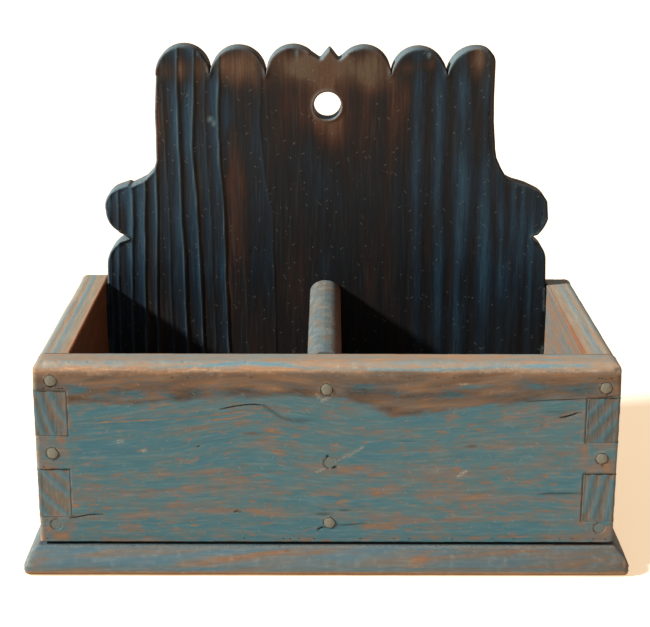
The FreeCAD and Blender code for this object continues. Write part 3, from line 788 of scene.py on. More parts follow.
def side_board(name, sign, fingers, top_rear, gaps, ridges, seed):
    def place(P):
        return np.stack([sign * (145 - P[:, 2]), P[:, 0], P[:, 1]], 1)

    def relief_out(u, v, near):
        z = v - RIM
        across = z + 3.0 * vnoise(u / 60.0, z / 30.0, seed + 1)
        r = 0.12 + 0.11 * fbm(u / 34.0, across / 1.8, seed + 2, 3) + 0.06 * fbm(u / 12.0, across / 0.8, seed + 3, 2)
        lines = np.abs(np.sin(across * 0.38 + vnoise(u / 60.0, across / 8.0, seed + 4)))
        return (r + 0.16 * lines ** 3 + 0.12 * (0.5 + 0.5 * vnoise(u / 50.0, z / 30.0, seed + 5))) * smooth(0, 1.4, near)

    def relief_in(u, v, near):
        z = v - RIM
        return (0.08 + 0.09 * fbm(u / 34.0, z / 1.6, seed + 6, 3) + 0.08 * vnoise(u / 40.0, z / 22.0, seed + 7) ** 2) * smooth(0, 1.2, near)

    def wall(P, nin, run, q, L):
        u, v, w = P.T
        x = sign * (145 - w)
        z = v - RIM
        amt = np.where(run == 10, 0.12 + 0.11 * fbm(u / 22.0, w / 1.4 + seed, seed + 8, 3), 0.0)
        front_tip = np.isin(run, [13, 17])
        rear_tip = np.isin(run, [1, 5, 9])
        if front_tip.any():
            amt[front_tip] = 0.06 + 0.32 * tip_height(x[front_tip], z[front_tip], ridges) + 0.08 * fbm(x[front_tip] / 0.8, z[front_tip] / 2.5, seed + 9, 2)
        if rear_tip.any():
            s = np.sin((x[rear_tip] * 0.8 + z[rear_tip] * 0.55) * 0.9 + 1.2 * vnoise(x[rear_tip] / 9, z[rear_tip] / 12, seed))
            amt[rear_tip] = 0.25 + 0.28 * s + 0.06 * fbm(x[rear_tip] / 0.9, z[rear_tip] / 2.5, seed + 10, 2)
        return np.maximum(amt, 0)

    return Plank(name, side_outline(fingers, RIM, top_rear, gaps, seed), [], 16.8, place,
                 dict(grid=(1.7, 0.6), relief=relief_out), dict(grid=(1.9, 0.8), relief=relief_in), wall=wall, wall_step=0.8)


left_side = side_board("worn_left_side", -1, ((29.2, 54.8), (72.7, 96.3)), RIM - 0.3, (0.03, 0.14, 0.04, 0.02), LEFT_TIP_RIDGES, 61)
right_side = side_board("worn_right_side", 1, ((27.2, 52.9), (69.5, 93.2)), RIM - 2.4, (0.04, 0.16, 0.03, 0.02), RIGHT_TIP_RIDGES, 81)

# --- back board
CREST = [(-127.5, 109.8), (-127.3, 121.0), (-121.0, 132.9), (-114.3, 135.8), (-120.4, 139.9), (-127.2, 151.8), (-126.1, 160.0),
         (-120.0, 165.2), (-113.6, 167.4), (-111.9, 166.6), (-108.0, 168.4), (-103.8, 170.6), (-99.6, 175.2), (-97.3, 181.8),
         (-97.2, 196.0), (-97.4, 208.0), (-96.2, 229.5), (-65.8, 230.9), (-34.3, 230.5), (-9.0, 242.2), (-3.9, 238.7),
         (1.4, 245.2), (6.6, 238.7), (10.6, 241.9), (36.1, 230.6), (67.5, 230.5), (88.5, 245.2), (94.5, 237.0), (94.3, 218.0), (94.6, 204.0),
         (95.9, 188.0), (96.8, 183.2), (99.4, 177.6), (103.2, 171.2), (108.0, 168.9), (114.5, 167.0), (121.0, 163.9),
         (126.9, 157.6), (127.6, 149.0), (121.6, 138.3), (117.9, 137.3), (122.5, 133.3), (127.3, 124.0), (127.9, 107.5)]
CREST_ARCS = {1: 17, 2: 15, 4: 14, 5: 12, 6: 12, 12: -16, 16: 15.25, 17: 15.77, 18: 15.1, 23: 15.2, 24: 15.73, 25: 17.05, 26: 8.6,
              33: -16, 36: 13, 38: 14, 41: 14}
TALL = (16,)      # arcs that go round more than half of their circle


def crest_sag(i):
    r = CREST_ARCS.get(i, 0)
    if not r:
        return 0.0
    a, b = CREST[i], CREST[i + 1]
    h = math.hypot(b[0] - a[0], b[1] - a[1]) / 2
    root = math.sqrt(max(r * r - h * h, 0))
    return math.copysign(abs(r) + (root if i in TALL else -root), r)


def back_outline():
    E = dict(rf=0.3, rb=0.3, ds=1.2, wob=0.05)
    end = dict(rf=0.5, rb=1.0, ds=1.2, wob=0.1)
    L, R = ((29.2, 54.8), (72.7, 96.3)), ((27.2, 52.9), (69.5, 93.2))
    corners = [(-128.2, 14.2, 0.3), (128.2, 14.2, 0.3)]
    edges = [E, E]
    for a, b in R:
        corners += [(128.2, a, 0.2), (145, a, 0.5), (145, b, 0.5), (128.2, b, 0.2)]
        edges += [E, end, E, E]
    corners += [(127.9, 107.5, 0.0)]
    crest = dict(rf=2.1, rb=1.2, ds=0.8, wob=0.07)
    n = len(CREST)
    for k in range(n - 1, 0, -1):
        e = dict(crest)
        sag = crest_sag(k - 1)
        if abs(sag) > 0.02:
            e["sag"] = sag
        if 16 <= k - 1 <= 26:
            e["ds"] = 0.65
        if k - 1 in (2, 3, 16, 17, 18, 23, 24, 38, 39, 40):
            e["taper"] = (5.0, 0.3)
        if k - 1 == 25:
            e["taper"] = (5.0, 0.3, "far end")
        edges.append(e)
        if k - 1 > 0:
            i = k - 1
            straight = not CREST_ARCS.get(i) and not CREST_ARCS.get(i - 1)
            corners.append((*CREST[i], 1.2 if straight else 0.0))
    corners += [(-127.5, 109.8, 0.0)]
    edges += [E]
    for a, b in reversed(L):
        corners += [(-128.2, b, 0.2), (-145, b, 0.5), (-145, a, 0.5), (-128.2, a, 0.2)]
        edges += [E, end, E, E]
    return contour(corners, edges, seed=7)


HANG = (0.35, 212.9)
BACK_PEGS = {
    "back_peg_left_top": (-136.9, 84.3), "back_peg_left_bottom": (-136.8, 41.6),
    "back_peg_right_top": (136.6, 81.6), "back_peg_right_bottom": (136.9, 39.8),
    "back_peg_divider_top": (1.4, 95.2), "back_peg_divider_middle": (0.6, 60.3), "back_peg_divider_bottom": (1.1, 28.4)}
back_holes = [round_hole(*HANG, 7.9, 1.3, 1.5, 9, n=64, squash=(0.985, 1.0))]
back_holes += [round_hole(x, z, 2.95, 0.2, 0.4, 120 + k, facets=0.02) for k, (x, z) in enumerate(BACK_PEGS.values())]

# hard lines standing proud of the left half: (name, [(z from the rim, x)], width of the lit flank, height in mm)
SAW = [
    ([(130, -84), (110, -84.6), (90, -84.5), (70, -84), (40, -83.3), (20, -82.6), (0, -82.2), (-96, -80.5)], 7.0, 0.85),
    ([(130, -74.5), (110, -75), (90, -76.2), (80, -76.5), (50, -74.8), (30, -74), (0, -73), (-96, -71)], 5.5, 0.80),
    ([(125, -60.8), (105, -61.5), (85, -61.9), (65, -60.5), (45, -59), (25, -58.8), (5, -58.5), (-96, -56)], 6.5, 0.85),
    ([(118, -36.8), (95, -38.5), (60, -35), (40, -31), (20, -31), (-96, -28)], 5.0, 0.35),
    ([(58, -112), (50, -111.5), (30, -112), (0, -113), (-96, -114)], 4.0, 0.60),
    ([(57, -104), (30, -104.7), (0, -105.3), (-96, -106)], 4.6, 0.75),
    ([(62, -97.5), (40, -97.3), (0, -98.6), (-96, -99)], 4.8, 0.75),
    ([(56, -119.5), (30, -120), (0, -120.6), (-96, -121)], 3.0, 0.40),
    ([(56, -124.2), (30, -124.6), (0, -125), (-96, -125.5)], 2.6, 0.35),
    ([(130, -92.2), (100, -92.6), (60, -91), (30, -90.4), (0, -90.6), (-96, -89)], 4.0, 0.30),
    ([(130, -68), (100, -69), (60, -68), (30, -66.5), (0, -66), (-96, -64)], 3.5, 0.18),
    ([(130, -51), (100, -52.5), (60, -50), (30, -48), (0, -47), (-96, -44)], 5.0, 0.14),
    ([(130, -24), (100, -26), (60, -23), (30, -20), (0, -19), (-96, -17)], 5.0, 0.12),
]
# soft swells of the right half: ([(z from the rim, x)], half width, height)
SWELL = [
    ([(120, 52.5), (60, 51.5), (10, 53), (-96, 54)], 3.0, 0.45), ([(120, 64.5), (60, 64), (10, 66), (-96, 67)], 2.7, 0.45),
    ([(120, 77), (60, 79), (10, 77), (-96, 77)], 3.3, 0.55), ([(120, 91), (60, 90.5), (10, 93), (-96, 95)], 2.8, 0.50),
    ([(60, 99), (10, 102), (-96, 103)], 2.4, 0.45), ([(60, 107), (10, 107.6), (-96, 108)], 1.8, 0.35),
    ([(60, 112.5), (10, 112), (-96, 112)], 1.8, 0.38), ([(60, 117.5), (10, 119), (-96, 120)], 2.0, 0.38),
    ([(60, 124), (10, 124.6), (-96, 125)], 1.6, 0.30), ([(120, 41.5), (60, 41), (10, 42), (-96, 43)], 2.5, 0.14),
    ([(120, 30), (60, 29), (10, 31), (-96, 32)], 3.5, 0.12), ([(120, 15), (60, 14), (10, 16), (-96, 17)], 4.0, 0.10),
]


def back_ridges(x, z):
    """(height above the hollows in mm, left flanks given painted light, crest lines given a painted highlight, hollows
    given darker paint and painted shade), at x and z from the rim.
    """
    h = np.zeros(np.shape(x))
    painted_lit_flank, crest, hollow_dark_paint_and_shade = np.zeros_like(h), np.zeros_like(h), np.zeros_like(h)
    for keys, width, amp in SAW:
        c = curve(keys, z) + 0.35 * vnoise(z / 17.0, x * 0 + keys[0][1], 5) + 0.12 * vnoise(z / 5.0, x * 0 + keys[0][1], 6)
        a = amp * (1 + 0.25 * vnoise(z / 25.0, x * 0 + 3 + keys[0][1], 8))
        d = x - c
        rise = np.clip((d + width) / width, 0, 1)
        left = rise ** 2.0 * (d <= 0)
        right = (1 - smooth(0.0, 1.0, d)) * (d > 0)
        h += a * (left + right)
        k = a / 0.8
        # painted light on the left flank of each hard line, a painted highlight on its crest, darker paint and painted
        # shade in the hollow to its right
        painted_lit_flank = np.maximum(painted_lit_flank, np.clip(k, 0, 1) * rise ** 1.5 * (1 - smooth(-0.1, 0.5, d)))
        crest = np.maximum(crest, np.clip(k, 0, 1) * np.exp(-((d + 0.3) / 0.45) ** 2))
        hollow_dark_paint_and_shade = np.maximum(hollow_dark_paint_and_shade, np.clip(k, 0, 1) * smooth(0.3, 1.0, d) * (1 - smooth(1.6, 4.2, d)))
    for keys, half, amp in SWELL:
        c = curve(keys, z) + 0.5 * vnoise(z / 22.0, x * 0 + keys[0][1], 5)
        a = amp * (1 + 0.25 * vnoise(z / 30.0, x * 0 + keys[0][1], 8))
        d = x - c
        g = np.exp(-(d / (half * 1.15)) ** 2)
        h += a * g
        k = np.clip(a / 0.5, 0, 1)
        # the soft swells likewise: painted light on their left side, darker paint and painted shade on their right
        painted_lit_flank = np.maximum(painted_lit_flank, k * np.exp(-((d + 0.3 * half) / (half * 1.0)) ** 2))
        hollow_dark_paint_and_shade = np.maximum(hollow_dark_paint_and_shade, k * np.exp(-((d - 2.1 * half) / (half * 0.8)) ** 2) * 0.8)
    return h, painted_lit_flank, crest, hollow_dark_paint_and_shade


def back_relief(u, v, near):
    z = v - RIM
    h = back_ridges(u, z)[0]
    top = 0.90
    r = top - np.minimum(h * 0.78, top) + 0.05 * fbm(u / 0.9, z / 30.0, 71, 3) + 0.04 * fbm(u / 2.2, z / 45.0, 72, 2) + 0.12
    smoothed = 0.75 * smooth(8, 30, u) * (1 - smooth(40, 50, u)) + 0.6 * smooth(-22, -12, u) * (1 - smooth(8, 20, u))
    r = r * (1 - 0.6 * smoothed) + 0.2 * smoothed
    # the rubbed top of the lobes
    r = r * (1 - 0.55 * smooth(112, 128, z)) + 0.15 * smooth(112, 128, z)
    r += 0.30 * ellipses(u, z, [(-20, 131, 2.2, 3.2, 1.3), (-17, 132, 0.7, 3.0, 0.8), (53, 132, 2.2, 1.2, 1.0), (83.5, 129, 3.4, 6, 1.4),
                                (-43.5, 17, 1.2, 1.4, 1.2), (-65, 94, 2.0, 0.9, 0.7), (-63.5, 91.5, 1.0, 0.8, 0.8)])
    return np.maximum(r, 0.02) * smooth(0.0, 2.2, near)


def back_wall(P, nin, run, q, L):
    u, v, w = P.T
    if len(L.pts) > 200:
        return 0.04 + 0.10 * fbm(u / 6.0 + v / 7.0, w / 1.5, 77, 3) + 0.10 * np.clip(fbm(w / 0.7, v / 9.0, 78, 2), 0, 1)
    return 0.05 + 0.06 * fbm(u / 3.0 + v / 4.0, w / 1.5, 79, 2)


back_board = Plank(
    "worn_back_board", back_outline(), back_holes, 17.0, lambda P: np.stack([P[:, 0], 71 + P[:, 2], P[:, 1]], 1),
    dict(grid=(0.62, 2.4), relief=back_relief),
    dict(grid=(1.3, 3.2), relief=lambda u, v, near: (0.12 + 0.12 * fbm(u / 1.6, v / 40.0, 73, 3) + 0.14 * np.abs(np.sin(u * 0.35 + vnoise(u / 9.0, v / 60.0, 74))) ** 3) * smooth(0, 2, near)),
    wall=back_wall, wall_step=1.1)


# --- base board
def base_bevel(r, d):
    if r < 5:
        return quarter(r, d)
    t = np.clip(1 - d / 7.4, 0, 1)
    return 6.2 * t ** 1.18 + 2.6 * np.clip(1 - d / 2.6, 0, 1) ** 2


base_outer = contour(
    [(-153, -88, 4.2), (153, -88, 3.6), (153, 88, 0.8), (-153, 88, 0.8)],
    [dict(rf=7.4, rb=2.6, ds=1.3, wob=0.18), dict(rf=7.4, rb=2.6, ds=1.3, wob=0.18), dict(rf=0.6, rb=0.9, ds=1.6, wob=0.12),
     dict(rf=7.4, rb=2.6, ds=1.3, wob=0.18)], seed=15)
BASE_PEGS = {
    "base_peg_left_front": (-136.6, -18), "base_peg_left_rear": (-136.6, 27), "base_peg_right_front": (136.6, -16),
    "base_peg_right_rear": (136.6, 25), "base_peg_divider_front": (0, -19), "base_peg_divider_rear": (0.5, 26),
    "base_peg_front_left": (-72, -71.5), "base_peg_front_right": (70, -71.5), "base_peg_back_left": (-69, 79.5),
    "base_peg_back_right": (73, 79.5)}
base_holes = [round_hole(x, y, 2.95, 0.2, 0.45, 220 + k, facets=0.02) for k, (x, y) in enumerate(BASE_PEGS.values())]


def flow_base(x, y):
    return 0.045 * x + 2.5 * vnoise(x / 80.0, y / 40.0, 16)


def base_relief(u, v, near):
    a = v - flow_base(u, v)
    return (0.12 + 0.10 * fbm(u / 34.0, a / 1.8, 91, 3) + 0.12 * np.abs(np.sin(a * 0.5 + vnoise(u / 60.0, a / 8.0, 92))) ** 3
            + 0.25 * np.clip(fbm(u / 2.6, v / 2.0, 93, 2) - 0.45, 0, 1) * 2) * smooth(0, 1.4, near)


base_board = Plank(
    "worn_base_board", base_outer, base_holes, 14.0, lambda P: np.stack([P[:, 0], P[:, 1], 14 - P[:, 2]], 1),
    dict(grid=(1.9, 0.85), relief=base_relief, rings=(0.1, 0.22, 0.36, 0.5, 0.64, 0.78, 0.9, 1.0, 1.12)),
    dict(grid=(2.6, 1.4), relief=lambda u, v, near: (0.10 + 0.12 * fbm(u / 34.0, v / 1.9, 94, 3)) * smooth(0, 1.4, near)),
    wall=lambda P, nin, run, q, L: (0.14 + 0.14 * fbm((P[:, 0] + P[:, 1]) / 6.0, P[:, 2] / 1.2, 95, 3)) if len(L.pts) > 200 else np.zeros(len(P)),
    profile_f=base_bevel, wall_step=0.9, deepest=0.66)


# --- divider
def divider_round(r, d):
    if r < 5:
        return quarter(r, d)
    x = np.clip((6.9 - d) / 6.9, 0, 1)
    return 8.57 * (1 - np.sqrt(np.maximum(1 - x * x, 0)))


def divider_place(P):
    t = np.clip((P[:, 0] + 62.4) / 133.4, 0, 1)
    centre, half = -1.35 + 0.75 * t, 8.75 + 0.15 * t
    return np.stack([centre + (P[:, 2] - 8.75) * half / 8.75, P[:, 0], P[:, 1]], 1)


divider_outer = contour(
    [(-62.4, 14.1, 0.4), (70.9, 14.1, 0.4), (70.9, 111.5, 0.3), (-62.4, 111.5, 1.3)],
    [dict(rf=0.4, rb=0.4, ds=1.4), dict(rf=0.3, rb=0.3, ds=1.2), dict(rf=8.75, rb=8.75, ds=1.1, wob=0.08), dict(rf=0.6, rb=0.6, ds=1.0, wob=0.1)],
    seed=25)


def divider_relief(seed):
    def f(u, v, near):
        z = v - RIM
        return (0.08 + 0.08 * fbm(u / 30.0, z / 1.6, seed, 3) + 0.20 * np.clip(fbm(u / 2.4, z / 2.0, seed + 1, 2) - 0.35, 0, 1)) * smooth(0, 1.0, near)
    return f


divider = Plank(
    "worn_divider", divider_outer, [], 17.5, divider_place,
    dict(grid=(1.6, 0.75), relief=divider_relief(101), rings=(0.04, 0.1, 0.18, 0.28, 0.4, 0.52, 0.65, 0.78, 0.9)),
    dict(grid=(1.6, 0.75), relief=divider_relief(104), rings=(0.04, 0.1, 0.18, 0.28, 0.4, 0.52, 0.65, 0.78, 0.9)),
    wall=None, profile_f=divider_round, profile_b=divider_round, blend=6.0, wall_step=1.0)



# ------------------------------------------------------------------ pegs
def peg(name, axis, at, head, tail, r, seed, proud=0.5, tilt=(0.0, 0.0), chamfer=0.55, uneven=1.0):
    """A whittled peg along Y or Z: head and tail are its ends in mm, proud how far the crown stands past the shoulder."""
    n = 36
    th = np.linspace(0, 2 * math.pi, n, endpoint=False)
    out = r * (1 + uneven * (0.035 * np.cos(5 * th + seed) + 0.03 * np.cos(2 * th + 1.7 * seed) + 0.02 * vnoise(np.cos(th) * 2.5 + seed, np.sin(th) * 2.5, seed)))
    sgn = 1.0 if tail > head else -1.0
    length = abs(tail - head)
    rings, kind = [], []
    for f in (0.16, 0.32, 0.48, 0.62, 0.74, 0.85, 0.93, 0.98):
        dome = proud * (1 - f ** 2.4)
        grain = 0.10 * vnoise(out * f * np.cos(th) / 0.45 + seed, out * f * np.sin(th) / 1.2, seed + 3) * (1 - f ** 6)
        rings.append((out * f, proud - dome + grain * 0.7 + 0.12 + tilt[0] * f * np.cos(th) + tilt[1] * f * np.sin(th)))
        kind.append(f)
    shoulder = proud + 0.12
    for extra, f in ((0.22, 1.0), (chamfer + 0.3, 1.012)):
        rings.append((out * f, np.full(n, shoulder + extra)))
        kind.append(1.0)
    for d in (2.5, 6.0, 11.0, 17.5, 26.0):
        if d < length - 1.0:
            rings.append((out * (1 - 0.012 * d / 10) , np.full(n, d)))
            kind.append(1.0)
    rings.append((out * 0.965, np.full(n, length - 0.7)))
    rings.append((out * 0.82, np.full(n, length)))
    kind += [1.0, 1.0]
    V, K, R = [(0.0, 0.0, 0.12)], [0.0], [0.0]
    for (rad, d), k in zip(rings, kind):
        for j in range(n):
            V.append((rad[j] * math.cos(th[j]), rad[j] * math.sin(th[j]), max(0.02, d[j])))
            K.append(k)
            R.append(rad[j])
    V.append((0.0, 0.0, length))
    K.append(1.0)
    R.append(0.0)
    V = np.array(V)
    F = [(0, 1 + j, 1 + (j + 1) % n) for j in range(n)]
    m = len(rings)
    for k in range(m - 1):
        a, b = 1 + k * n, 1 + (k + 1) * n
        F += [(a + j, b + j, b + (j + 1) % n, a + (j + 1) % n) for j in range(n)]
    last = 1 + (m - 1) * n
    F += [(last + (j + 1) % n, last + j, len(V) - 1) for j in range(n)]
    along = head + sgn * V[:, 2]
    if axis == "y":
        W = np.stack([at[0] + V[:, 0], along, at[1] + V[:, 1]], 1)
        hand = sgn > 0     # x, z, y is left-handed
    else:
        W = np.stack([at[0] + V[:, 0], at[1] + V[:, 1], along], 1)
        hand = sgn < 0
    if not hand:
        F = [tuple(reversed(f)) for f in F]
    mesh = bpy.data.meshes.new(name)
    mesh.from_pydata([tuple(w * 0.001) for w in W], [], F)
    mesh.polygons.foreach_set("use_smooth", np.ones(len(mesh.polygons), bool))
    # unwrapped as a head disc, a tail disc and the barrel
    layer = mesh.uv_layers.new(name="OFBake")
    first_wall = 1 + 9 * n
    for poly in mesh.polygons:
        ids = list(poly.vertices)
        d = [V[i, 2] for i in ids]
        if max(ids) < first_wall + n and min(ids) < first_wall and max(d) < 3:
            uv = [(0.25 + 0.23 * V[i, 0] / (r * 1.1), 0.75 + 0.23 * V[i, 1] / (r * 1.1)) for i in ids]
        elif min(ids) >= last:
            uv = [(0.75 + 0.23 * V[i, 0] / (r * 1.1), 0.75 + 0.23 * V[i, 1] / (r * 1.1)) for i in ids]
        else:
            a = [math.atan2(V[i, 1], V[i, 0]) / (2 * math.pi) % 1 for i in ids]
            if max(a) - min(a) > 0.5:
                a = [x + 1 if x < 0.5 else x for x in a]
            uv = [(0.02 + 0.94 * x / 1.03, 0.02 + 0.44 * dd / length) for x, dd in zip(a, d)]
        for li, c in zip(poly.loop_indices, uv):
            layer.data[li].uv = c
    obj = bpy.data.objects.new(name, mesh)
    bpy.context.scene.collection.objects.link(obj)
    K, R = np.array(K), np.array(R)
    angle = np.arctan2(V[:, 1], V[:, 0])
    for label, values in (("head", (V[:, 2] < shoulder + 0.35).astype(float) * (K < 1.01)),
                          ("radial", R / r), ("depth", V[:, 2])):
        a = mesh.attributes.new(label, "FLOAT", "POINT")
        a.data.foreach_set("value", values.astype(np.float32))
    a = mesh.attributes.new("grain", "FLOAT_VECTOR", "POINT")
    a.data.foreach_set("vector", np.stack([V[:, 2] + seed * 3.1, V[:, 0] + seed, V[:, 1]], 1).astype(np.float32).ravel())
    return obj


# ------------------------------------------------------------------ materials
def srgb(c):
    out = []
    for v in c:
        v = v / 255.0
        out.append(v / 12.92 if v <= 0.04045 else ((v + 0.055) / 1.055) ** 2.4)
    return (*out, 1.0)


def under(stops, k):
    """Colours as they should look where the light on them is k, turned into the paint's own colours."""
    made = []
    for at, c in stops:
        v = [x / k for x in srgb(c)[:3]]
        made.append((at, tuple(255 * (12.92 * x if x <= 0.0031308 else 1.055 * x ** (1 / 2.4) - 0.055) for x in v)))
    return made


class Graph:
    """A few short words for building a material."""

    def __init__(self, name):
        self.mat = bpy.data.materials.new(name)
        self.mat.use_nodes = True
        self.tree = self.mat.node_tree
        self.tree.nodes.clear()
        self.out = self.tree.nodes.new("ShaderNodeOutputMaterial")
        self.bsdf = self.tree.nodes.new("ShaderNodeBsdfPrincipled")
        self.tree.links.new(self.bsdf.outputs[0], self.out.inputs[0])

    def put(self, socket, value):
        if isinstance(value, bpy.types.NodeSocket):
            self.tree.links.new(value, socket)
        else:
            socket.default_value = value

    def attr(self, name, vector=False):
        n = self.tree.nodes.new("ShaderNodeAttribute")
        n.attribute_type = "GEOMETRY"
        n.attribute_name = name
        return n.outputs["Vector" if vector else "Fac"]

    def scaled(self, vec, s, offset=(0, 0, 0)):
        n = self.tree.nodes.new("ShaderNodeMapping")
        self.put(n.inputs["Vector"], vec)
        n.inputs["Scale"].default_value = s
        n.inputs["Location"].default_value = offset
        return n.outputs[0]

    def noise(self, vec, detail=3.0, rough=0.55, distortion=0.0):
        n = self.tree.nodes.new("ShaderNodeTexNoise")
        self.put(n.inputs["Vector"], vec)
        n.inputs["Scale"].default_value = 1.0
        n.inputs["Detail"].default_value = detail
        n.inputs["Roughness"].default_value = rough
        n.inputs["Distortion"].default_value = distortion
        return n.outputs["Fac"]

    def cells(self, vec, feature="F1", random=1.0):
        n = self.tree.nodes.new("ShaderNodeTexVoronoi")
        n.feature = feature
        self.put(n.inputs["Vector"], vec)
        n.inputs["Scale"].default_value = 1.0
        n.inputs["Randomness"].default_value = random
        return n.outputs["Distance"], n.outputs["Color"]

    def math(self, op, a, b=0.0, clamp=False):
        n = self.tree.nodes.new("ShaderNodeMath")
        n.operation = op
        n.use_clamp = clamp
        self.put(n.inputs[0], a)
        self.put(n.inputs[1], b)
        return n.outputs[0]

    def add(self, a, b, clamp=False):
        return self.math("ADD", a, b, clamp)

    def mul(self, a, b, clamp=False):
        return self.math("MULTIPLY", a, b, clamp)

    def centred(self, a, gain):
        """(a - 0.5) * gain"""
        n = self.tree.nodes.new("ShaderNodeMath")
        n.operation = "MULTIPLY_ADD"
        self.put(n.inputs[0], a)
        n.inputs[1].default_value = gain
        n.inputs[2].default_value = -0.5 * gain
        return n.outputs[0]

    def step(self, x, a, b, lo=0.0, hi=1.0):
        n = self.tree.nodes.new("ShaderNodeMapRange")
        n.interpolation_type = "SMOOTHSTEP"
        self.put(n.inputs["Value"], x)
        n.inputs["From Min"].default_value = a
        n.inputs["From Max"].default_value = b
        n.inputs["To Min"].default_value = lo
        n.inputs["To Max"].default_value = hi
        return n.outputs["Result"]

    def ramp(self, fac, stops):
        n = self.tree.nodes.new("ShaderNodeValToRGB")
        self.put(n.inputs[0], fac)
        e = n.color_ramp.elements
        while len(e) > 1:
            e.remove(e[-1])
        e[0].position, e[0].color = stops[0][0], srgb(stops[0][1])
        for pos, c in stops[1:]:
            k = e.new(pos)
            k.color = srgb(c)
        return n.outputs["Color"]

    def mix(self, fac, a, b, blend="MIX"):
        n = self.tree.nodes.new("ShaderNodeMix")
        n.data_type = "RGBA"
        n.blend_type = blend
        self.put(n.inputs[0], fac)
        self.put(n.inputs[6], a)
        self.put(n.inputs[7], b)
        return n.outputs[2]

    def bump(self, height, strength, distance, normal=None):
        n = self.tree.nodes.new("ShaderNodeBump")
        n.inputs["Strength"].default_value = strength
        n.inputs["Distance"].default_value = distance
        self.put(n.inputs["Height"], height)
        if normal is not None:
            self.put(n.inputs["Normal"], normal)
        return n.outputs[0]


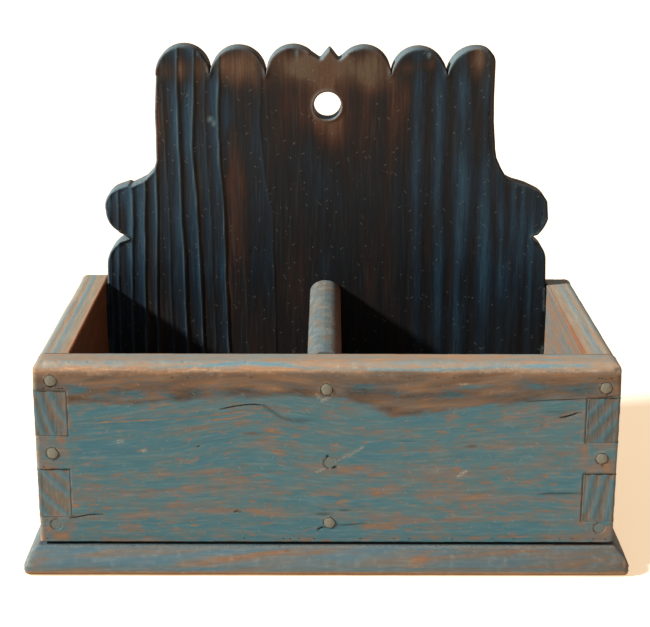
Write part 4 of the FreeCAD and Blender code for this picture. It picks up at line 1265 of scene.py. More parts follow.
def painted(name, stops, streak=0.20, fine=0.14, speck=0.07, pores=0.35, dark=(22, 18, 15), pale=(196, 190, 176), tint=None,
            rough=(0.50, 0.72), relief=1.0, vary=0.16, long=1.0, specks=0.0, speck_tone=(150, 150, 140), spec=0.35, coat=0.0,
            cell=((20.0, 1.9), (8.0, 0.62), (1.5, 0.75), (5.5, 3.0)), soft_pale=False, lace=0.0, dot=0.085):
    """Old paint over wood. The vertex fields: loss of paint, dark, pale and tint; grain is (along, across, deep) in mm.
    On some boards these fields also carry painted light and shade: painted highlights in pale, painted shade in dark,
    and lit or shaded colour in loss and tint.
    """
    g = Graph(name)
    grain = g.attr("grain", True)
    loss, dark_f, pale_f, tint_f = g.attr("loss"), g.attr("dark"), g.attr("pale"), g.attr("tint")
    (a1, b1), (a2, b2), (a3, b3), (a4, b4) = cell
    n1 = g.noise(g.scaled(grain, (1 / (a1 * long), 1 / b1, 1 / b1)), 4.0, 0.6, 0.4)
    n2 = g.noise(g.scaled(grain, (1 / (a2 * long), 1 / b2, 1 / b2), (3.1, 7.7, 1.3)), 3.0, 0.6, 0.2)
    n3 = g.noise(g.scaled(grain, (1 / a3, 1 / b3, 1 / b3), (9.2, 1.2, 4.4)), 2.0, 0.65)
    n4 = g.noise(g.scaled(grain, (1 / a4, 1 / b4, 1 / b4), (2.2, 5.1, 8.8)), 3.0, 0.6)
    m = g.add(g.add(loss, g.centred(n1, streak)), g.add(g.centred(n2, fine), g.add(g.centred(n3, speck), g.centred(n4, streak * 0.55))), True)
    if lace:
        # small ragged flecks where the paint has come away down to the wood
        n7 = g.noise(g.scaled(grain, (1 / 4.8, 1 / 1.7, 1 / 1.7), (6.3, 2.7, 9.1)), 5.0, 0.74, 0.3)
        n8 = g.noise(g.scaled(grain, (1 / 17.0, 1 / 5.5, 1 / 5.5), (1.1, 8.3, 2.6)), 3.0, 0.55)
        fleck = g.step(g.add(n7, g.centred(n8, 0.60)), 0.555, 0.66)
        m = g.add(m, g.mul(g.mul(fleck, g.step(m, 0.62, 0.34)), lace), True)
    colour = g.ramp(m, stops)
    if tint is not None:
        colour = g.mix(tint_f, colour, g.ramp(m, tint))
    # light and shade within the paint
    n5 = g.noise(g.scaled(grain, (1 / (12.0 * long), 1 / 1.3, 1 / 1.3), (5.0, 2.0, 6.0)), 3.0, 0.6)
    colour = g.mix(g.step(n5, 0.48, 0.75, 0.0, vary), colour, g.mix(0.5, colour, srgb(pale)))
    colour = g.mix(g.step(n5, 0.5, 0.25, 0.0, vary * 1.2), colour, g.mix(0.6, colour, srgb(dark)))
    # open pores: short dark dashes along the grain
    n6 = g.noise(g.scaled(grain, (1 / 3.8, 1 / 0.26, 1 / 0.26), (1.7, 3.3, 2.9)), 1.0, 0.5)
    colour = g.mix(g.step(n6, 0.68, 0.80, 0.0, pores), colour, srgb(dark))
    dark_m = g.math("MULTIPLY", dark_f, g.add(0.75, g.centred(n2, 0.9)), True)
    colour = g.mix(dark_m, colour, srgb(dark))
    pale_m = g.math("MULTIPLY", pale_f, g.step(g.add(n3, g.centred(n2, 0.5)), 0.05 if soft_pale else 0.30, 0.62), True)
    colour = g.mix(pale_m, colour, srgb(pale))
    if specks > 0:
        d, c = g.cells(g.scaled(grain, (1 / 3.6, 1 / 2.6, 1 / 2.6)))
        chosen = g.step(c, 0.70, 0.72)
        size = g.step(d, dot, dot * 0.4)
        s = g.mul(g.mul(size, chosen), specks)
        colour = g.mix(s, colour, srgb(speck_tone))
        d2, c2 = g.cells(g.scaled(grain, (1 / 9.0, 1 / 0.9, 1 / 0.9), (4.0, 8.0, 1.0)))
        s2 = g.mul(g.mul(g.step(d2, 0.11, 0.04), g.step(c2, 0.86, 0.88)), specks * 0.55)
        colour = g.mix(s2, colour, srgb(speck_tone))
        # short pale hair scratches lying two ways across the grain
        for k, turn in enumerate((0.75, -1.0)):
            v = g.scaled(grain, (1, 1, 1))
            v.node.inputs["Rotation"].default_value = (0, 0, turn)
            d3, c3 = g.cells(g.scaled(v, (1 / 10.0, 1 / 1.5, 1 / 1.5), (3.0 + 5 * k, 1.0, 2.0)))
            s3 = g.mul(g.mul(g.step(d3, 0.15, 0.06), g.step(c3, 0.62, 0.64)), specks * 0.75)
            colour = g.mix(s3, colour, srgb(speck_tone))
    g.put(g.bsdf.inputs["Base Color"], colour)
    r = g.add(g.step(m, 0.2, 0.9, rough[0], rough[1]), g.centred(n3, 0.16), True)
    g.put(g.bsdf.inputs["Roughness"], g.add(r, g.mul(dark_f, 0.15), True))
    g.bsdf.inputs["Specular IOR Level"].default_value = spec
    if coat:
        g.bsdf.inputs["Coat Weight"].default_value = coat
        g.bsdf.inputs["Coat Roughness"].default_value = 0.42
    height = g.add(g.add(g.mul(n2, 0.5), g.mul(n1, 0.35)), g.add(g.mul(n3, 0.35), g.step(m, 0.40, 0.55, 0.45, 0.0)))
    height = g.add(height, g.step(n6, 0.66, 0.80, 0.0, -0.6))
    g.put(g.bsdf.inputs["Normal"], g.bump(height, 0.55 * relief, 0.00022))
    return g.mat


def normals_of(plank):
    n = np.zeros(len(plank.world) * 3, np.float32)
    plank.obj.data.vertices.foreach_get("normal", n)
    return n.reshape(-1, 3)


def blur_edges(near, r):
    return 1 - smooth(0.0, r, near)


def put_fields(plank, grain, loss, dark=None, pale=None, tint=None):
    n = len(plank.world)
    zero = np.zeros(n)
    plank.vector("grain", grain)
    plank.attribute("loss", np.clip(loss, 0, 1))
    plank.attribute("dark", np.clip(zero if dark is None else dark, 0, 1))
    plank.attribute("pale", np.clip(zero if pale is None else pale, 0, 1))
    plank.attribute("tint", np.clip(zero if tint is None else tint, 0, 1))


# --- fields of the front board
PATCHES = [  # worn-through places on the front: x, z from the rim, half length, half height, strength, slope
    (-107, -38.5, 4, 1.3, .75), (-61, -33, 4, 1.1, .8), (-54, -33, 3, 1, .7), (-75, -34, 5, 1, .6), (-55, -44.5, 4, 1.2, .7),
    (-72, -47, 9, 2.4, .5), (-122, -53, 4, 2, .7), (-57, -58, 5, 1.4, .65), (-87, -67, 3.4, 1.2, .7), (-79, -67, 3, 1.2, .75),
    (-71, -66.5, 3.4, 1.3, .7), (-58, -65, 4.5, 1.2, .75), (-126, -75, 3.2, 2.2, .9), (-77, -73, 3.5, 1.3, .7), (-84, -75, 3, 1.1, .65),
    (-65, -77, 4, 1.2, .6), (-115, -82, 4, 1.2, .6), (-100, -87, 8, 2.3, .7), (-67, -85.5, 5, 1.3, .7), (-42, -31.5, 4, 1.1, .8),
    (-27, -35, 7.5, 2.2, .9, -0.28), (-17, -37.5, 3.5, 1.1, .8), (-12, -37, 3, 1, .7), (-9, -31, 3, 1, .5), (-37, -37, 6, 2, .75),
    (-30, -43, 5, 2.2, .75, -0.3), (-47, -46, 5, 1.6, .6), (9, -32.6, 7.5, 1.0, .6, -0.15), (28, -35, 3.5, 1.1, .7), (39, -35, 3, 1.3, .75),
    (17, -41, 5, 1.1, .65), (-18, -46, 5, 1.2, .6), (8, -48, 4, 1.2, .6), (-1, -54.5, 13, 3.6, .62, 0.15), (-24, -57, 5, 1.3, .7),
    (17, -55, 5, 1.5, .8), (25, -58, 2.0, 2.6, .7), (37, -57, 4, 1.1, .65), (-28, -65, 5, 1.3, .75), (-45, -66.5, 5, 1.2, .75),
    (-34, -67, 4, 1.1, .7), (-2, -68.5, 14, 1.7, .75), (13, -63, 5, 1.2, .6), (25, -67, 5, 1.2, .7), (42, -65, 5, 1.1, .6),
    (-37, -72.5, 5, 1.2, .75), (18, -74, 5, 1.2, .7), (35, -73, 5, 1.2, .65), (-37, -85.3, 8, .9, .8), (14, -81, 4, 1.1, .5),
    (30, -86, 17, 2.3, .85, 0.12), (42, -95, 7, 1.5, .6), (66, -37.8, 3.5, 1.4, .8), (70, -33, 3, 1.2, .7), (56, -36, 3.5, 1.2, .7),
    (85, -37, 3.5, 1.3, .6), (72, -43, 3.4, 1.6, .7), (88, -48, 4, 1.3, .7), (105, -46, 4, 1.3, .6), (55, -50, 4, 1.2, .6),
    (65, -55.5, 5, 1.1, .85, 0.1), (84, -54.5, 3, 1.3, .8), (91.5, -55, 1.6, 2.6, .8), (112.5, -53.5, 3, 1.5, .7), (118.5, -54.5, 3, 1.2, .7),
    (55, -57, 4, 1.0, .7), (55, -64, 8, 1.2, .75), (78, -62.5, 6, 1.3, .75), (100, -62, 6, 1.3, .7), (69, -70, 4, 1.3, .8),
    (90, -73, 2.4, 2.6, .75), (72, -75, 3.5, 1.2, .75), (63, -82.5, 4, 1.1, .7), (88, -83, 3.5, 1.1, .6), (101, -82, 3.5, 1.1, .6),
    (108, -26.2, 5.5, 1.2, .85, -0.3), (108, -31, 1.2, 3.2, .85), (123, -75, 6, 5, .62), (131, -54, 15, 4.6, .62), (-133, -46.5, 11, 5.0, .62),
    (-139, -90, 9, 5, .6), (100, -97, 40, 2.2, .62), (-105, -94, 38, 3.2, .58), (-128, -12, 8, 3, .55), (136, -88, 10, 4, .55),
    (-105, -20, 7, 1.8, .75), (-84, -18, 5, 1.6, .75), (-70, -15, 5, 1.5, .7), (-58, -20, 4.5, 1.5, .75), (-121, -25, 6, 3.5, .58),
    (-90, -36, 9, 1.5, .5), (-115, -60, 8, 3, .5), (60, -28, 8, 2.4, .62), (82, -25, 12, 1.2, .5), (20, -94, 14, 1.6, .5),
    (-20, -52, 9, 1.6, .6), (-9, -61, 8, 1.2, .55), (48, -78, 9, 1.1, .55), (5, -75.5, 9, 1.0, .55)]
BARE_EDGE = [(-145, -22), (-130, -21), (-110, -20.5), (-90, -20), (-70, -19), (-50, -17), (-30, -16), (-10, -16.5), (10, -18),
             (25, -22), (32, -27.5), (48, -25), (70, -22.5), (95, -19.5), (125, -18), (145, -17)]
TEAL_SPOTS = [(-124, -14, 5, 2.2, 1), (-104, -15, 4.5, 2.2, 1), (-94, -15.4, 4, 2.2, 1), (-79, -16.4, 4, 2.3, 1), (-66, -15, 4, 2, .8),
              (-53, -15, 5, 1.8, .8), (60, -16, 8, 1.7, .9), (73, -12.5, 6, 1.6, .8), (98, -11, 10, 1.8, .9), (125, -13, 8, 2.6, 1),
              (20, -12.5, 8, 1.6, .8), (-40, -13.0, 7, 1.4, .5), (35, -15.5, 5, 1.4, .6), (-112, -17.5, 4, 1.4, .6)]
BLUE_STREAK = [(-85, -3), (-60, -1), (-40, 0.5), (-20, -1), (-10, -2.5), (20, -3), (60, -3), (85, -1.5), (130, -0.5)]


PALE_GRAIN = [  # grain lines rubbed bare: (x, z from the rim), half width, how bare
    ([(-122, -31.5), (-110, -31), (-100, -30), (-85, -29.2), (-70, -28.5), (-50, -26), (-37, -24.3), (-30, -25.5)], 0.35, 0.86),
    ([(-60, -29.6), (-48, -28.6), (-38, -26.2), (-28, -25.2)], 0.45, 0.80),
    ([(60, -28.3), (85, -27.6), (104, -27.0)], 0.3, 0.62), ([(-20, -94.8), (10, -94.2), (60, -92.8), (125, -91.5)], 0.9, 0.62),
    ([(-120, -94.9), (-60, -95.1), (-20, -94.9)], 0.6, 0.72)]


def fields_front(plank):
    x, y, zz = plank.world.T
    z = zz - RIM
    wall = plank.region == 2
    back = plank.region == 1
    zr = z + 0.335 * (y + 80)       # height as the front face carries on over the rounded top
    zr = np.where(back, z, zr)
    flow = flow_front(x, np.minimum(z, 0))
    across = z - flow + np.where(z > -7, (y + 80) * 1.0, 0) + np.where(back, 40, 0)
    wx = x + 3.0 * vnoise(x / 9.0, zr / 2.6, 201) + 1.2 * vnoise(x / 3.1, zr / 1.2, 202)
    wz = zr + 1.1 * vnoise(x / 8.0, zr / 3.0, 203) + 0.5 * vnoise(x / 2.6, zr / 1.3, 204)
    ragged = fbm(x / 3.4, across / 1.5, 218, 3)
    loss = 0.30 + 0.15 * fbm(x / 30.0, across / 6.5, 205, 4) + 0.12 * fbm(x / 11.0, across / 3.0, 206, 3) + 0.07 * fbm(x / 4.0, across / 1.7, 219, 2)
    loss += 0.07 * vnoise(x / 55.0, z / 24.0, 207) + 0.05 * smooth(10, 60, x)
    lines = 0.5 + 0.5 * np.sin(across * 0.60 + 1.6 * vnoise(x / 60.0, across / 9.0, 220))
    loss += 0.13 * (lines ** 3 - 0.3) * smooth(-20, -32, z)
    # broad browner streaks and blotches, more of them lower down
    loss += smooth(-38, -62, z) * (0.20 * np.clip(fbm(x / 26.0, across / 3.6, 226, 3), 0, 1) + 0.22 * np.clip(fbm(x / 7.0, across / 4.2, 227, 2) - 0.15, 0, 1))
    worn = ellipses(wx, wz, PATCHES)
    loss = np.maximum(loss, worn * (0.80 + 0.42 * ragged) * smooth(0.12, 0.42, worn + 0.25 * ragged))
    edge = np.interp(x, [k[0] for k in BARE_EDGE], [k[1] for k in BARE_EDGE])
    bare = smooth(edge - 2.2, edge + 2.0, wz) * (zr < 2)
    tex = 0.66 + 0.15 * fbm(x / 26.0, across / 3.0, 209, 3) + 0.13 * fbm(x / 6.0, across / 1.8, 210, 3)
    loss = loss * (1 - bare) + np.maximum(loss, tex) * bare
    band = smooth(-12.5, -9.5, wz) * (1 - smooth(-3.8, -2.2, wz))
    loss = np.maximum(loss, band * (0.72 + 0.15 * fbm(x / 20.0, across / 2.0, 211, 3)))
    line = smooth(-5.6, -4.2, wz) * (1 - smooth(-2.6, -1.4, wz)) * smooth(140, 100, np.abs(x + 40)) * (x < 20)
    loss = np.maximum(loss, line * (0.86 + 0.1 * vnoise(x / 9.0, zr / 1.0, 212)))
    top = smooth(-2.0, 0.2, zr)
    loss = loss * (1 - top) + top * (0.56 + 0.36 * fbm(x / 26.0, y / 2.2, 213, 3) + 0.16 * fbm(x / 7.0, y / 1.0, 221, 2))
    loss -= 0.34 * ellipses(wx + 2.5 * ragged, wz + 1.0 * ragged, TEAL_SPOTS) * (zr < -6)
    d = line_near(x, zr, BLUE_STREAK)
    loss -= 0.42 * np.exp(-(d / 0.75) ** 2) * (np.abs(x) < 132)
    # the sides of the rim show their mortised ends browner
    loss = np.maximum(loss, 0.66 * smooth(119, 130, np.abs(x)) * (1 - smooth(-40, -8, z) * 0.2) * (0.8 + 0.4 * vnoise(x / 4, z / 4, 214)))
    for keys, width, much in PALE_GRAIN:
        on = np.where((~back) & (x > keys[0][0] - 3) & (x < keys[-1][0] + 3))[0]
        dd = line_near(x[on], z[on] + 0.35 * vnoise(x[on] / 6.0, z[on] * 0, 222), keys)
        loss[on] = np.maximum(loss[on], (1 - smooth(width * 0.5, width * 1.5, dd)) * much * (0.8 + 0.35 * vnoise(x[on] / 5.0, z[on] * 0 + 3, 223)))
    inner = 0.62 + 0.16 * fbm(x / 30.0, z / 1.8, 215, 3)
    loss = np.where(back, inner, loss)
    ends = wall & (np.abs(x) > 143)
    loss = np.where(ends, np.where(x < 0, 0.34, 0.46) + 0.20 * vnoise(y / 3.0, z / 6.0, 216), loss)
    dark = ends * 0.22
    for f in FRONT_CRACKS:
        line_pts = np.array(f["line"])
        idx = np.where((~back) & (x > line_pts[:, 0].min() - 3) & (x < line_pts[:, 0].max() + 3) & (zz > line_pts[:, 1].min() - 3) & (zz < line_pts[:, 1].max() + 3))[0]
        if len(idx):
            dd = line_near(x[idx], zz[idx], f["line"])
            dark[idx] = np.maximum(dark[idx], min(1.0, 0.25 + f["depth"]) * (1 - smooth(f["width"] * 0.4, f["width"] * 1.3, dd)))
    dark = np.where(back, 0.35, dark)
    # the wood below the rim has gone darker
    dark = np.maximum(dark, (~back) * smooth(edge - 2.5, edge + 1.5, wz) * (0.20 * (1 - smooth(-14, -10.5, wz)) + 0.47 * (1 - smooth(-5, -1.0, zr)))
                      * (0.8 + 0.5 * vnoise(x / 14.0, across / 3.0, 228)))
    # round each peg that shows: a dark crescent on the lower right is painted shade and a pale arc on the upper left is
    # painted highlight; the faint dark ring all round is the joint
    ring = np.zeros(len(x))
    for name, (px, pz) in FRONT_PEGS.items():
        dd = np.hypot(x - px, zz - pz)
        turn = np.arctan2(zz - pz, x - px)
        painted_shade_side = 0.5 + 0.5 * np.cos(turn + 1.1)
        much = 0.12 if name in FLUSH else 1.0
        dark = np.maximum(dark, (~back) * (1 - smooth(2.95, 3.6, dd)) * (0.08 + 0.48 * painted_shade_side ** 2) * much)
        ring = np.maximum(ring, (~back) * (1 - smooth(3.2, 4.2, dd)) * (0.5 + 0.5 * np.cos(turn - 2.2)) ** 3 * 0.40 * (much > 0.5))
        # a small dark spot just below the top and middle corner pegs: painted shadow
        if abs(px) > 100 and pz > 40:
            below = np.hypot(x - px - 0.3, zz - pz + 3.5)
            dark = np.maximum(dark, (~back) * (1 - smooth(0.45, 1.1, below)) * 0.9)
    dark = np.maximum(dark, (~back) * 0.50 * (1 - smooth(0.4, 1.3, line_near(x, z, [(-31, -22.2), (-27, -25.0), (-22, -28.6), (-16, -29.8), (-10, -30.0)]))))
    dark = np.maximum(dark, (~back) * ellipses(x, z, [(-2, -80, 3.6, 0.8, .7), (-1.5, -77.6, 1.6, .5, .6), (9, -78, 3, 0.6, .6), (-37, -36.5, 4, .8, .45),
                      (80, -16.8, 12, 0.6, .55), (8.5, -85.7, 8, .5, .45), (142.4, -3.3, 1.8, 1.0, .95), (72, -43, 2.6, .9, .55), (-13, -29.3, 8, .9, .4),
                      (40, -40.5, 8, .4, .35), (-134.5, -85.4, 1.8, .6, .8), (117, -68.6, 12, .7, .5), (5.5, -51, 1.6, 1.3, .4), (111, -24.8, 4.5, .6, .5)]))
    # joint lines of the two corner joints
    dark = np.maximum(dark, (~back) * seams(x, z, 0.35, 0.95))
    # walls darkened at the foot of the board, in the gap over the base: painted shade
    dark = np.maximum(dark, wall * smooth(17.2, 15.8, zz) * 0.55)
    pale = 0.60 * ellipses(x, zr, [(-136, -1.2, 9, 2.6, .9), (-118, -1.6, 10, 1.3, .5), (140, -1, 5, 2, .25)]) * (0.6 + 0.6 * ragged)
    pale = np.maximum(pale, 0.85 * (1 - smooth(0.2, 0.8, line_near(x, z, [(-5, -57), (18, -43.5)]))) * 0.35)
    # the pale arcs round the pegs: painted highlight
    pale = np.maximum(pale, ring)
    pale = np.maximum(pale, 0.5 * (1 - smooth(0.3, 0.9, line_near(x, z, [(66, -59), (69, -56.6)]))))
    pale = np.maximum(pale, ellipses(x, z, [(-103, -41, 1.6, 1, .5), (-91, -45.8, 1.2, .9, .5), (1.6, -53, 1.2, 1.2, .5), (67, -10.5, 3, .5, .4)]))
    pale = np.maximum(pale, 0.38 * (1 - smooth(0.3, 1.0, line_near(x, z, [(-5, -16), (-2, -19.3), (3, -16)]))))
    pale = np.maximum(pale, 0.28 * np.clip(fbm(x / 2.6, zr / 2.0, 217, 2) - 0.25, 0, 1) * 2.2 * smooth(-9, -4, zr) * (1 - smooth(1, 3, zr)))
    # a pale line along the rounded top arris: painted highlight
    pale = np.maximum(pale, 0.40 * (1 - smooth(0.3, 1.0, np.abs(zr + 3.4 - 0.5 * vnoise(x / 12.0, x * 0, 224)))) * (0.5 + 0.7 * fbm(x / 6.0, x * 0, 225, 2)))
    pale = np.maximum(pale, 0.30 * smooth(-142.4, -144.2, x) * (np.abs(z + 50) < 46) * (~back))
    pale = np.where(back, 0.0, pale)
    grain = np.stack([x, across, y * (z <= -7) * 0.8], 1)
    put_fields(plank, grain, loss, dark, pale, smooth(-6.5, -1.5, zr) * (~back))


TEAL = under([(0.00, (58, 108, 124)), (0.22, (66, 114, 128)), (0.36, (78, 117, 125)), (0.46, (97, 114, 116)), (0.56, (115, 110, 106)),
              (0.68, (130, 109, 91)), (0.80, (150, 113, 83)), (0.92, (164, 124, 90)), (1.00, (188, 156, 122))], 1.50)
GREYED = under([(0.00, (92, 142, 160)), (0.25, (112, 146, 156)), (0.40, (132, 144, 144)), (0.52, (148, 142, 130)), (0.64, (160, 138, 116)),
                (0.78, (176, 134, 100)), (0.90, (196, 150, 112)), (1.00, (216, 182, 148))], 1.20)
fields_front(front_board)
MOTTLE = ((10.0, 2.4), (3.4, 0.95), (1.1, 0.75), (4.6, 2.6))
front_board.obj.data.materials.append(painted(
    "old_blue_paint_front", TEAL, tint=GREYED, specks=0.30, speck_tone=(170, 160, 140), cell=MOTTLE, streak=0.15, fine=0.21, speck=0.21, lace=0.29,
    pores=0.15, pale=(182, 172, 154), dark=(20, 18, 16), spec=0.25, relief=0.8))


# --- fields of the side boards
SIDE = under([(0.00, (88, 142, 160)), (0.20, (108, 148, 160)), (0.36, (132, 150, 150)), (0.50, (154, 150, 138)), (0.62, (168, 148, 124)),
              (0.76, (178, 138, 106)), (0.88, (190, 146, 110)), (1.00, (214, 178, 146))], 1.28)
BROWN = [(0.00, (60, 84, 94)), (0.25, (84, 90, 88)), (0.45, (116, 84, 64)), (0.65, (124, 66, 36)), (0.85, (140, 76, 42)), (1.00, (180, 122, 80))]


def fields_side(plank, sign, ridges, seed):
    x, y, zz = plank.world.T
    z = zz - RIM
    w = plank.uvw[:, 2]
    wall, inner = plank.region == 2, plank.region == 1
    across = z + 3.0 * vnoise(y / 60.0, z / 30.0, seed + 1) + np.where(z > -6, w * 1.0, 0)
    loss = 0.40 + 0.20 * fbm(y / 40.0, across / 3.2, seed + 20, 3) + 0.15 * fbm(y / 13.0, across / 1.4, seed + 21, 3) + 0.12 * vnoise(y / 40.0, z / 26.0, seed + 22)
    top = smooth(-7.5, -1.0, z)
    drift = 0.5 * vnoise(y / 45.0, y * 0 + seed, seed + 30)
    rows = 0.57 + 0.10 * fbm(y / 60.0, (w + drift) / 1.5, seed + 23, 3) + 0.06 * fbm(y / 14.0, w / 0.9, seed + 24, 2)
    rows -= 0.30 * np.exp(-((w - 8.4 - drift) / 1.4) ** 2) * (0.8 + 0.4 * vnoise(y / 26.0, y * 0, seed + 31))
    rows -= 0.20 * np.exp(-((w - 3.2 - drift) / 1.6) ** 2) * (0.6 + 0.6 * vnoise(y / 20.0, y * 0, seed + 32))
    rows += 0.20 * np.exp(-((w - 5.9 - drift) / 0.7) ** 2) * (0.7 + 0.5 * vnoise(y / 30.0, y * 0, seed + 33))
    rows += 0.10 * smooth(11, 15, w)
    loss = loss * (1 - top) + top * rows
    # the left board's inner face, turned away from the key light, is given more bare wood than the right one, and below
    # the full brown tint: painted warm shade
    loss = np.where(inner, (0.50 if sign > 0 else 0.66) + 0.24 * fbm(y / 30.0, across / 3.0, seed + 26, 4) + 0.10 * vnoise(y / 9.0, z / 1.2, seed + 27), loss)
    lip = inner * smooth(-3.0, -0.3, z)
    loss = np.maximum(loss, lip * 0.86)
    loss = np.maximum(loss, top * smooth(15.4, 16.3, w) * 0.70)
    dark = np.zeros(len(x))
    pale = 0.30 * top * (~inner) * np.clip(fbm(y / 18.0, w / 1.8, seed + 28, 3) + 0.10, 0, 1)
    tip_f = (y < -70) & (wall | inner | (y < -77))
    worn_tip = 0.0
    if tip_f.any():
        h = tip_height(x[tip_f], z[tip_f], ridges)
        loss[tip_f] = 0.10 + 0.34 * h + 0.18 * fbm(x[tip_f] / 2.4, z[tip_f] / 3.5, seed + 29, 3)
        dark[tip_f] = np.maximum(0.51 + 0.20 * h - 0.08 * (z[tip_f] < -50) * (sign < 0) + 0.09 * (z[tip_f] > -50) * (sign > 0), seams(x[tip_f], z[tip_f], 0.15, 0.75))
        pale[tip_f] = 0.0
        worn_tip = tip_f * 0.35
    dark = np.maximum(dark, inner * smooth(-60, -96, z) * 0.5)
    dark = np.maximum(dark, inner * (~tip_f) * (0.24 if sign > 0 else 0.0))
    grain = np.stack([y, across, x * (z <= -7) * 0.8], 1)
    if tip_f.any():
        # end grain: rings run across the sawn tip
        grain[tip_f] = np.stack([z[tip_f] * 1.0 + x[tip_f] * sign * 0.5, x[tip_f] * 1.3, y[tip_f]], 1)
    # the left inner face takes the full brown tint, the right one about a third of it: painted warm shade on the face
    # turned from the key light
    put_fields(plank, grain, loss, dark, pale, np.where(tip_f, worn_tip, inner * (1.0 if sign < 0 else 0.35) + lip * 0.4))


fields_side(left_side, -1, LEFT_TIP_RIDGES, 300)
fields_side(right_side, 1, RIGHT_TIP_RIDGES, 340)
side_paint = painted("old_blue_paint_side", SIDE, tint=BROWN, specks=0.25, speck_tone=(180, 170, 150), cell=MOTTLE, streak=0.13, fine=0.15,
                     speck=0.10, long=2.0, pale=(190, 180, 162), spec=0.25)
left_side.obj.data.materials.append(side_paint)
right_side.obj.data.materials.append(side_paint)


